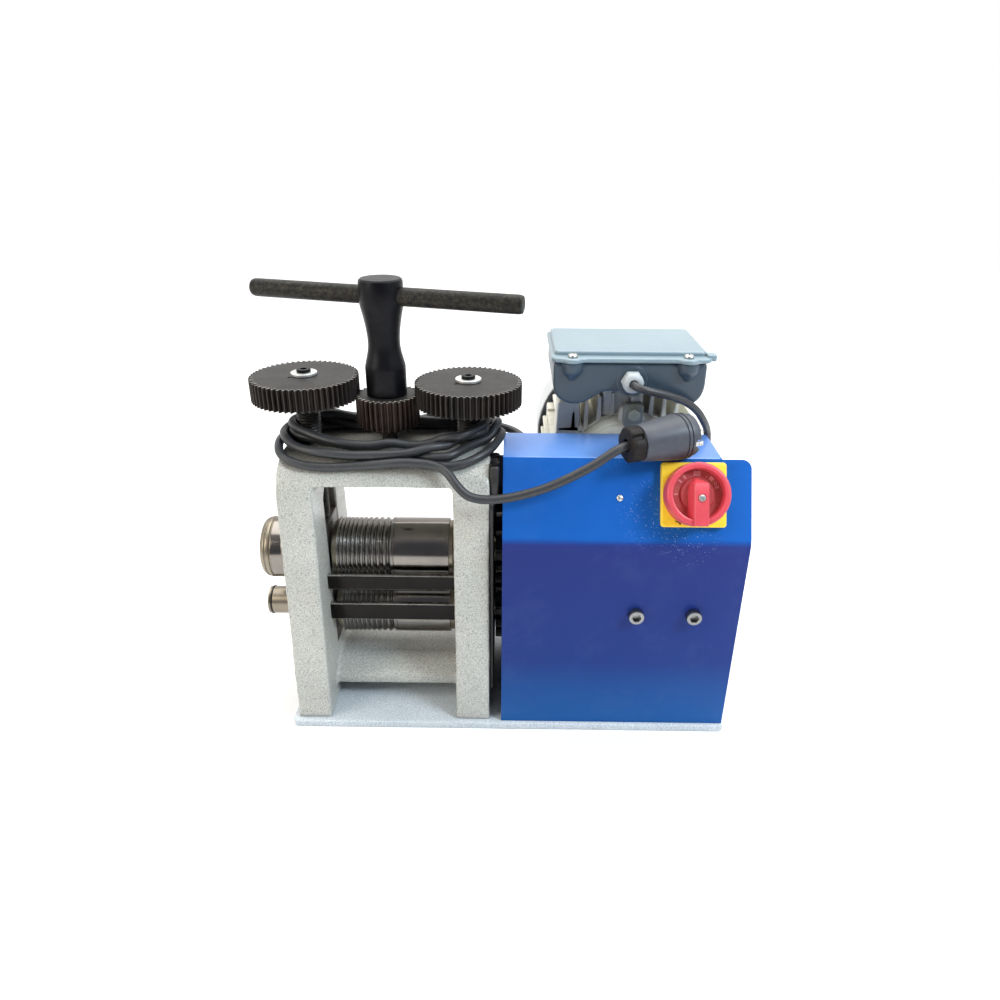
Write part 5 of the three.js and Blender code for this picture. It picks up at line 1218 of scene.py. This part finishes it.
hub = lathe(
    "handle_hub_detail",
    soften([(0, 330.8), (19.3, 330.8), (19.3, 357.0)], 0.8)
    + [(19.2, 358.4), (18.4, 361.6), (17.3, 366.0), (16.1, 371.2), (15.2, 376.6), (15.0, 381.0), (15.2, 386.5), (15.9, 393.0), (16.9, 399.5), (18.2, 406.5)]
    + [(19.5, 412.0), (20.35, 416.6), (20.35, 436.0), (19.8, 437.9), (18.4, 439.1), (0, 439.4)],
    "z",
    (0, 0),
    OXIDE,
    72,
    angle=22,
)
cut(hub, spin_z(rod("b", 8.8, -30, 30, "x", (0, 423.5), None, 48), BAR_TURN), rod("s", 7.8, 320, 352.4, "z", (0, 0), None, 40), angle=24)
on(hub, "handle", "handle_hub")
bar = lathe(
    "handle_bar_detail",
    [(0, -135), (5.6, -134.9), (7.4, -133.8), (8.3, -131.4), (8.5, -128), (8.5, -60), (8.5, 0), (8.5, 60), (8.5, 130), (8.3, 132.8), (7.6, 134.5), (6.2, 135), (0, 135)],
    "x",
    (0, 423.5),
    BAR,
    48,
    angle=40,
)
on(spin_z(bar, BAR_TURN), "handle", "handle_bar")

# ---------------------------------------------------------------- drive train: machined pieces kept, given their materials
for node_name, surface in (
    ("upper_roll_gear", FRAME_DARK),
    ("lower_roll_gear", FRAME_DARK),
    ("drive_gear", FRAME_DARK),
    ("output_pinion", FRAME_DARK),
    ("output_shaft", SHAFT_STEEL),
    ("motor_shaft", SHAFT_STEEL),
    ("worm", SHAFT_STEEL),
    ("worm_wheel", BRONZE),
    ("gearbox_housing", CASE),
    ("gearbox_side_cover", CASE),
    ("cooling_fan", FAN),
):
    for slot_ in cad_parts[node_name].material_slots:
        slot_.material = surface

# ---------------------------------------------------------------- motor
MX, MZ = 244, 235
shield = lathe(
    "motor_front_shield_detail",
    [(10.5, 14.5), (30, 14.5), (30, 20.3), (52, 20.3), (57.6, 22.0), (59.4, 24.6), (59.6, 25.6), (60.6, 25.6), (61.4, 26.4), (63.4, 31), (64.5, 35), (64.5, 38.5)]
    + [(36, 38.5), (36, 30), (10.5, 30)],
    "y",
    (MX, MZ),
    CREAM,
    112,
    closed=True,
    r=0.7,
    angle=24,
)
lug = plate("lug", round_rect(233, 253, 290, 315, 4), "xz", 20.6, 33, LUG, bevel=1.8, steps=3)
lug_back = plate("lug_back", [(228.5, 288), (257, 288), (256, 300), (250, 305), (236, 312), (230.5, 308)], "xz", 26, 38.4, CREAM, bevel=1.6, steps=2)
nub = lathe("nub", [(0, 26), (4.4, 26), (4.4, 30), (2.2, 30.3), (2.2, 33), (0, 33)], "y", (244.6, 318), ZINC, 24, r=0.5)
strap = plate("strap", [(240.5, 311.5), (248.8, 311.5), (249, 322), (240.2, 322)], "xz", 30.2, 31.8, ZINC, bevel=0.4)
together(shield, lug, lug_back, nub, strap)
on(shield, "frame", "motor_front_shield")
bolt = plate("shield_bolt_detail", circle(243, 304, 7, 6, 30), "xz", 14.3, 20.3, LUG, bevel=0.9, steps=2)
together(bolt, rod("shank", 3, 20.2, 38, "y", (243, 304), ZINC, 24), lathe("face", [(0, 14.1), (4.6, 14.1), (5.4, 14.6), (0, 14.9)], "y", (243, 304), LUG, 32))
on(bolt, "frame", "shield_bolt")

shell = lathe(
    "stator_housing_detail",
    [(45, 38.8), (66, 38.8), (66, 150), (78, 150), (78, 164), (10.5, 164), (10.5, 146), (45, 146)],
    "y",
    (MX, MZ),
    CREAM,
    112,
    closed=True,
    r=1.2,
    angle=26,
)
blades = []
for upright in (True, False):
    for k in range(-5, 5):
        d = (k + 0.5) * 13.2
        start = max(math.sqrt(66**2 - d**2) - 3, abs(d) - 15 if upright else abs(d) + 3)
        end = math.sqrt(88**2 - d**2)
        if end - start < 8:
            continue
        for s in (1, -1):
            ring = [(d - 2.6, s * start), (d + 2.6, s * start), (d + 1.45, s * (end - 1)), (d + 0.7, s * end), (d - 0.7, s * end), (d - 1.45, s * (end - 1))]
            ring = [(MX + a, MZ + b) if upright else (MX + b, MZ + a) for a, b in ring]
            blades.append(plate("blade", ring, "xz", 38.8, 151.5, CREAM, bevel=0.35, steps=1))
for a in (45, 135, 225, 315):
    foot = block("cowl_lug", 75, 89, 156, 164, -6, 6, CREAM, 1.2)
    m = Matrix.Translation(W((MX, 0, MZ))) @ Matrix.Rotation(-rad(a), 4, "Y") @ Matrix.Translation(-OFF)
    for v in foot.data.vertices:
        v.co = m @ v.co
    blades.append(foot)
blades.append(block("pedestal", 214, 256, 42, 95, 295, 333.7, CREAM, 2.5, 3))
blades.append(plate("boss", [(166.5, 262), (193, 262), (190.5, 309.5), (188, 311), (170, 311), (168, 309)], "xz", 38.8, 74, CREAM, bevel=2.2, steps=3))
blades.append(block("pad", 162.5, 176, 128, 152, 236, 273, CREAM, 2.0, 3))
together(shell, *blades)
shade(shell, 30)
on(shell, "frame", "stator_housing")

cowl = lathe(
    "fan_cowl_detail",
    [(0, 213.3), (82, 213.3), (89.5, 206.6), (89.5, 158), (91.2, 158), (91.2, 207.4), (83, 215), (0, 215)],
    "y",
    (MX, MZ),
    COWL,
    128,
    r=1.6,
    angle=24,
)
slots = []
for i in range(6):
    o = plate("slot", round_rect(24, 70, -4.5, 4.5, 4.4), "xy", -3, 3, None, bevel=0.1, steps=1)
    # A slot drawn flat, turned to stand across the rear face.
    for v in o.data.vertices:
        q = (v.co - OFF) / MM
        a = i * math.pi / 3
        c, s = math.cos(a), math.sin(a)
        v.co = W((MX + q.x * c - q.y * s, 214.5 + q.z, MZ + q.x * s + q.y * c))
    bm = bmesh.new()
    bm.from_mesh(o.data)
    bmesh.ops.recalc_face_normals(bm, faces=bm.faces)
    bm.to_mesh(o.data)
    bm.free()
    slots.append(o)
cut(cowl, *slots, angle=24)
on(cowl, "frame", "fan_cowl")

# ---------------------------------------------------------------- terminal box
lobes = [(160, 362), (160, 338), (163, 329), (170, 322.8), (180, 320.5), (190, 322), (198, 326.8), (205, 331.6), (212, 334)]
lobes += [(258, 334), (265, 331.6), (272, 326.8), (280, 322), (290, 320.5), (298, 322.8), (303.5, 329), (306, 338), (306, 362)]
# Body in the darker copy of the box paint: painted shade.
box = plate("terminal_box_detail", soften(lobes, 4, 3, True), "xz", 0, 108, BOX_PAINTED_SHADE, bevel=3.2, steps=4, angle=40)
hollow = plate(
    "hollow",
    soften([(164, 372), (164, 339), (168, 330), (180, 324.5), (192, 327), (203, 338), (267, 338), (278, 327), (290, 324.5), (299, 330), (302, 339), (302, 372)], 3, 2, True),
    "xz",
    4,
    104,
    None,
    bevel=1.0,
    steps=1,
)
cut(box, hollow, angle=40)
for x in (178, 288):
    together(box, lathe("ear", [(0, 344), (4, 345), (9.4, 352), (10.4, 354), (10.5, 362), (0, 362)], "z", (x, 3), BOX_PAINTED_SHADE, 48, r=1.0))
# Shallow pad round the gland.
together(box, lathe("pad", [(0, 2), (15, 2), (15, -0.5), (13.4, -1.0), (0, -1.0)], "y", (235, 345.4), BOX_PAINTED_SHADE, 56, r=0.8))
on(box, "frame", "terminal_box")

x0, x1, y0, y1 = 157.5, 310.5, -2, 110
rim = arc(x0 + 8, y0 + 8, 8, 180, 270, 8)
for cx in (178, 288):
    rim += [(cx - 13.4, y0 - 0.1), (cx - 11.4, y0 - 0.5)] + arc(cx, 3, 11, 218, 322, 12) + [(cx + 11.4, y0 - 0.5), (cx + 13.4, y0 - 0.1)]
rim += arc(x1 - 8, y0 + 8, 8, 270, 360, 8) + arc(x1 - 8, y1 - 8, 8, 0, 90, 8) + arc(x0 + 8, y1 - 8, 8, 90, 180, 8)
# Lid in the lighter copy of the box paint: painted light on the top.
lid = plate("terminal_lid_detail", rim, "xy", 362.3, 367, LID_PAINTED_LIGHT, bevel=1.7, steps=4, angle=40)
pan = plate("pan", round_rect(161, 307, 9.5, 107, 6, 8), "xy", 364.5, 371, LID_PAINTED_LIGHT, bevel=2.4, steps=5, angle=40)
tab = block("tab", 306, 315, 4, 16, 363, 369.5, LID_PAINTED_LIGHT, 1.4, 3)
together(lid, pan, tab)
on(lid, "frame", "terminal_lid")
for side, x in (("left", 178), ("right", 288)):
    s_ = lathe(
        f"lid_screw_{side}_detail",
        [(0, 356), (2.4, 356), (2.4, 367.3), (4.8, 367.3), (4.9, 368.2), (4.4, 369.3), (3.2, 370.2), (1.6, 370.6), (0, 370.7)],
        "z",
        (x, 3),
        ZINC,
        40,
        r=0.15,
    )
    a = 25 if side == "left" else 70
    bars = []
    for t in (a, a + 90):
        b = block("slot", -3.4, 3.4, -0.55, 0.55, 368.9, 372, None, 0)
        spin_z(b, t)
        for v in b.data.vertices:
            v.co += Vector((x, 3, 0)) * MM
        bars.append(b)
    cut(s_, bars[0], angle=30)
    cut(s_, bars[1], angle=30)
    on(s_, "frame", f"lid_screw_{side}")

gl = plate("cable_gland_detail", soften(circle(235, 345.4, 11, 6, 0), 1.0, 3, True), "xz", -9, -1.2, GLAND, bevel=1.3, steps=3)
dome = lathe(
    "dome",
    [(3.9, -8.2), (10.0, -8.2), (10.0, -9.6), (9.6, -11.4), (8.4, -13.1), (6.6, -14.0), (4.6, -14.2), (4.1, -13.6), (3.9, -12)],
    "y",
    (235, 345.4),
    GLAND,
    56,
    closed=True,
)
together(gl, dome)
on(gl, "frame", "cable_gland")
lead_path = smooth_path(
    [(235, -7, 345.4), (235.1, -12, 345.4), (235.9, -17.5, 345.0), (241, -21.6, 343.6), (250, -21.6, 341.2), (264.5, -18, 337), (284.1, -11, 329), (298, -5, 318.6)]
    + [(310, 6, 303), (319.6, 22.4, 285), (323, 27.5, 262), (324, 29.5, 236), (322, 31, 212), (317.5, 30.5, 192), (313.4, 27, 181), (312.2, 21, 178.1), (312.2, 14, 178)],
    2.5,
)
lead = tube("motor_lead_detail", lead_path, 7.5, RUBBER, 6)
on(lead, "frame", "motor_lead")

# ---------------------------------------------------------------- covers
CY, CB, CT = -85.35, 214.8, 1.5
T_UP = Vector((0, 0.4553, 0.8903))
N_OUT = Vector((0, -0.8903, 0.4553))
SLOPE_L = math.hypot(-49.4 - CY, 285.1 - CB)


def to_slope(ob, x, along):
    """Moves a piece drawn flat on XY onto the sloped panel."""
    o = Vector((x, CY, CB)) + T_UP * along
    for v in ob.data.vertices:
        q = (v.co - OFF) / MM
        v.co = W(o + Vector((1, 0, 0)) * q.x + T_UP * q.y + N_OUT * q.z)
    return ob


turn_ = math.atan2(T_UP.z, T_UP.y)
outer_line = soften([(CY, 0.3), (CY, CB), (-49.4, 285.1)], 7, 6)
top_in = Vector((-49.4, 285.1)) - Vector((N_OUT.y, N_OUT.z)) * CT
inner_line = soften([(CY + CT, 0.3), (CY + CT, CB + math.tan(turn_ / 2 - math.pi / 4) * CT), tuple(top_in)], 6, 6)
front = plate("front_cover_detail", outer_line + inner_line[::-1], "yz", 113, 344.5, BLUE, bevel=0.35, steps=2, angle=30)
corner = plate("corner", [(1.5, -9), (1.5, 1.5), (-9, 1.5), (-9, 0)] + arc(-9, -9, 9, 90, 0, 10), "xy", -5, 4, None, bevel=0.05, steps=1)
to_slope(corner, 344.5, SLOPE_L)
window = to_slope(block("window", -23.5, 23.5, -23.5, 23.5, -5, 5, None, 0), 289, 45.6)
rivet_hole = to_slope(rod("rivet_hole", 1.9, -5, 5, "z", (0, 0), None, 24), 222, 42.1)
cut(front, corner, window, rivet_hole, *[rod("h", 5, -95, -75, "y", (x, 136.3), None, 32) for x in (243.4, 299.1)], angle=30)
# The top edge of the front sheet gets the pale chips: partly wear, partly a painted glint.
paint_faces(front, BLUE_WORN_GLINT, lambda c, n: c.z > 276 and (n.dot(T_UP) > 0.55 or (n.dot(T_UP) > 0.2 and n.x > 0.4)))
on(front, "frame", "front_cover")

rivet = lathe("cover_rivet_detail", [(0, -5), (1.6, -5), (1.6, 0.3), (3.1, 0.3), (2.9, 0.9), (2.2, 1.4), (1.2, 1.65), (0.8, 1.3), (0, 1.25)], "z", (0, 0), ZINC, 32)
on(to_slope(rivet, 222, 42.1), "frame", "cover_rivet")

for side, x in (("left", 243.4), ("right", 299.1)):
    knurl = []
    for i in range(72):
        a = 2 * math.pi * i / 72
        knurl += [(x + 7.22 * math.cos(a), 136.3 + 7.22 * math.sin(a)), (x + 7.5 * math.cos(a + 0.043), 136.3 + 7.5 * math.sin(a + 0.043))]
    head = plate(f"cover_screw_{side}_detail", knurl, "xz", -92.85, -85.65, SCREW_STEEL, bevel=0.7, steps=2, angle=40)
    cut(head, plate("hex", circle(x, 136.3, 4.6, 6), "xz", -95, -88.6, None, bevel=0.02, steps=1), angle=40)
    together(head, rod("shank", 4.3, -85.7, -62, "y", (x, 136.3), ZINC, 32))
    on(head, "frame", f"cover_screw_{side}")

outer = plate(
    "rear_cover_detail",
    soften([(-83.2, -6), (20, -6), (20, 284.7), (-47.2, 284.7), (-83.2, 214.3)], 4.5, 5, True),
    "yz",
    104,
    319,
    BLUE_BACK,
    bevel=3.0,
    steps=4,
    angle=30,
)
guard = block("guard", 104, 154, 10, 76, -6, 210, BLUE_BACK, 3.0, 4)
join(outer, guard, angle=30)
core = plate("core", soften([(-110, -16), (18.5, -16), (18.5, 283.2), (-110, 283.2)], 3.2, 4, True), "yz", 94, 317.5, None, bevel=1.6, steps=3)
guard_core = block("guard_core", 94, 152.5, 5, 74.5, -16, 208.5, None, 1.6, 3)
cut(
    outer,
    core,
    guard_core,
    block("low", 90, 330, -120, 100, -20, 0.3, None, 0),
    block("side", 90, 113, -120, 100, -20, 300, None, 0),
    rod("h1", 30.6, 10, 30, "y", (MX, MZ), None, 64),
    rod("h2", 8, 10, 30, "y", (136, 262), None, 32),
    rod("h3", 4.8, 10, 30, "y", (312.2, 178), None, 32),
    angle=30,
)
# The level top faces take the lighter enamel: a painted sky reflection.
paint_faces(outer, BLUE_TOP, lambda c, n: n.z > 0.95 and c.z > 280)
on(outer, "frame", "rear_cover")

# ---------------------------------------------------------------- rotary switch
sw = plate("switch_plate_detail", round_rect(-30, 30, -30, 30, 3.2, 6), "xy", 0.3, 8, YELLOW, bevel=1.5, steps=4, angle=34)
collar = lathe("collar", [(0, 7.9), (24.5, 7.9), (24.5, 8.25), (0, 8.25)], "z", (0, 0), YELLOW, 64, r=0.1)
back_body = block("back_body", -22.5, 22.5, -22.5, 22.5, -38, 1, DARK, 1.0, 2)
together(sw, collar, back_body)
arrow = from_data(
    "arrow",
    [(-17.5, -24.6, 8.0), (-13.4, -26.4, 8.0), (-14.0, -27.6, 8.0), (-11.6, -27.4, 8.0), (-12.6, -24.9, 8.0), (-13.0, -25.6, 8.0), (-17.1, -23.8, 8.0)]
    + [(-17.5, -24.6, 8.05), (-13.4, -26.4, 8.05), (-14.0, -27.6, 8.05), (-11.6, -27.4, 8.05), (-12.6, -24.9, 8.05), (-13.0, -25.6, 8.05), (-17.1, -23.8, 8.05)],
    [(6, 5, 4, 3, 2, 1, 0), (7, 8, 9, 10, 11, 12, 13)] + [(i, (i + 1) % 7, (i + 1) % 7 + 7, i + 7) for i in range(7)],
    MARK_BLACK,
)
together(sw, arrow)
shade(sw, 34)
on(to_slope(sw, 289, 45.6), "frame", "switch_plate")

kn = lathe(
    "switch_knob_detail",
    [(0, 8.3), (28.2, 8.3), (28.9, 9.2), (29, 25.4), (28.7, 26.6), (28.0, 27.3), (27.2, 27.6), (24.4, 27.6), (23.7, 27.3), (23.3, 26.5), (22.7, 18.6), (22.3, 18.1), (16.0, 18.1)]
    + [(15.7, 18.3), (15.4, 19.6), (14.9, 20.1), (0, 20.1)],
    "z",
    (0, 0),
    RED,
    96,
    angle=30,
)
paint_faces(kn, RED_WELL, lambda c, n: math.hypot(c.x, c.y) < 23 and n.z > 0.6)


def grip_ring(y, left, right, top, foot_left, foot_right):
    """Section of the knob's bar: drafted sides, flat top with small rounded corners."""
    return [(foot_left, y, 17), (foot_right, y, 17), (right + 0.1, y, top - 0.7), (right - 0.7, y, top), (left + 0.7, y, top), (left - 0.1, y, top - 0.7)]


grip = loft(
    "grip",
    [
        grip_ring(-28.9, -4.4, 7.4, 28.6, -5.4, 8.0),
        grip_ring(-28.4, -4.7, 7.8, 29.6, -6.2, 8.4),
        grip_ring(-27.6, -4.8, 8.0, 30.2, -7.0, 8.6),
        grip_ring(-20, -4.9, 8.1, 30.4, -9.0, 8.9),
        grip_ring(0, -4.9, 8.1, 30.4, -9.6, 9.0),
        grip_ring(8.4, -4.9, 8.1, 30.4, -9.4, 9.0),
        grip_ring(9.6, -4.6, 7.9, 29.8, -9.0, 8.8),
        grip_ring(13.8, -2.9, 1.3, 23.4, -4.2, 2.6),
        grip_ring(14.6, -2.2, 0.4, 21.2, -2.6, 0.8),
    ],
    RED,
    28,
)
screw_head = lathe("screw_head", [(0, 29), (3.1, 29), (3.1, 30.9), (2.6, 31.5), (0, 31.7)], "z", (1.8, -3.6), ZINC, 32, r=0.2)
cut(screw_head, spin_about(block("slot", -1.7, 5.3, -4.1, -3.1, 30.6, 33, None, 0), (1.8, -3.6), 35))
ring_dark = lathe("screw_seat", [(3.2, 30.0), (4.0, 30.0), (4.0, 30.46), (3.2, 30.46)], "z", (1.8, -3.6), RED_WELL, 32, closed=True)
together(kn, grip, ring_dark, screw_head)
# Pale raised marks on the recess floor: index strokes and a plain 0 and 1.
marks = []
for a, r0, r1, w in ((90, 16.8, 21.4, 3.2), (62, 17.4, 19.0, 0.5), (48, 17.4, 21.2, 2.0), (126, 17.4, 21.4, 0.9), (142, 17.4, 21.4, 0.9), (180, 17.2, 21.0, 0.9), (20, 17.4, 21.2, 0.9)):
    ring = [(r0, -w), (r1, -w), (r1, w), (r0, w)]
    marks.append(
        plate("mark", [(u * math.cos(rad(a)) - v * math.sin(rad(a)), u * math.sin(rad(a)) + v * math.cos(rad(a))) for u, v in ring], "xy", 17.9, 18.35, MARK, bevel=0.05, steps=1)
    )
marks.append(plate("zero", [(19.2 * math.cos(rad(30)) + 1.3 * c, 19.2 * math.sin(rad(30)) + 1.9 * s) for c, s in circle(0, 0, 1, 24)], "xy", 17.9, 18.35, MARK, holes=[[(19.2 * math.cos(rad(30)) + 0.7 * c, 19.2 * math.sin(rad(30)) + 1.25 * s) for c, s in circle(0, 0, 1, 24)]], bevel=0.04, steps=1))
together(kn, *marks)
on(to_slope(kn, 289, 45.6), "knob", "switch_knob")



# ---------------------------------------------------------------- stage, light
def stage():
    bm = bmesh.new()
    bmesh.ops.create_grid(bm, x_segments=2, y_segments=2, size=3.0)
    for v in bm.verts:
        v.co.z = 0.0
    floor = finish_mesh("floor", bm, None, smooth=False)
    k = Look("floor_pale", (0.82, 0.82, 0.82), 0.7)
    k.colour(k.ramp(k.noise(3, 2), (0.3, (0.81, 0.81, 0.815)), (0.7, (0.84, 0.84, 0.84))))
    floor.data.materials.append(k.m)

    def lamp(name, at, aim, size, watts, colour):
        li = bpy.data.lights.new(name, "AREA")
        li.shape = "RECTANGLE"
        li.size, li.size_y = size
        li.energy = watts
        li.color = colour
        ob = bpy.data.objects.new(name, li)
        scene.collection.objects.link(ob)
        ob.location = at
        ob.rotation_euler = (Vector(aim) - Vector(at)).to_track_quat("-Z", "Y").to_euler()

    lamp("key_window", (1.35, -0.95, 1.65), (0.05, 0, 0.2), (0.6, 0.5), 36, (0.75, 0.88, 1.0))
    lamp("overhead", (0.0, 1.0, 3.2), (0, 0.6, 0), (4.0, 4.0), 150, (1.0, 0.99, 0.97))
    lamp("warm_fill", (-1.5, -1.0, 0.95), (-0.1, 0, 0.2), (0.9, 0.9), 15, (1.0, 0.93, 0.82))
    world = bpy.data.worlds.new("studio")
    world.use_nodes = True
    nt = world.node_tree
    bg = nt.nodes["Background"]
    tc = nt.nodes.new("ShaderNodeTexCoord")
    sep = nt.nodes.new("ShaderNodeSeparateXYZ")
    nt.links.new(tc.outputs["Generated"], sep.inputs[0])
    back = nt.nodes.new("ShaderNodeMapRange")
    back.inputs["From Min"].default_value = -0.75
    back.inputs["From Max"].default_value = 0.15
    nt.links.new(sep.outputs["Y"], back.inputs["Value"])
    rp = nt.nodes.new("ShaderNodeValToRGB")
    rp.color_ramp.elements[0].color = (0.14, 0.15, 0.18, 1)
    rp.color_ramp.elements[1].color = (1.0, 1.0, 1.0, 1)
    nt.links.new(back.outputs["Result"], rp.inputs[0])
    nt.links.new(rp.outputs[0], bg.inputs["Color"])
    bg.inputs["Strength"].default_value = 1.05
    plain = nt.nodes.new("ShaderNodeBackground")
    plain.inputs["Color"].default_value = (1.0, 1.0, 1.0, 1)
    plain.inputs["Strength"].default_value = 1.0
    path = nt.nodes.new("ShaderNodeLightPath")
    both = nt.nodes.new("ShaderNodeMixShader")
    nt.links.new(path.outputs["Is Camera Ray"], both.inputs[0])
    nt.links.new(bg.outputs[0], both.inputs[1])
    nt.links.new(plain.outputs[0], both.inputs[2])
    nt.links.new(both.outputs[0], nt.nodes["World Output"].inputs["Surface"])
    scene.world = world
    scene.view_settings.view_transform = "Standard"


stage()

bpy.context.view_layer.update()
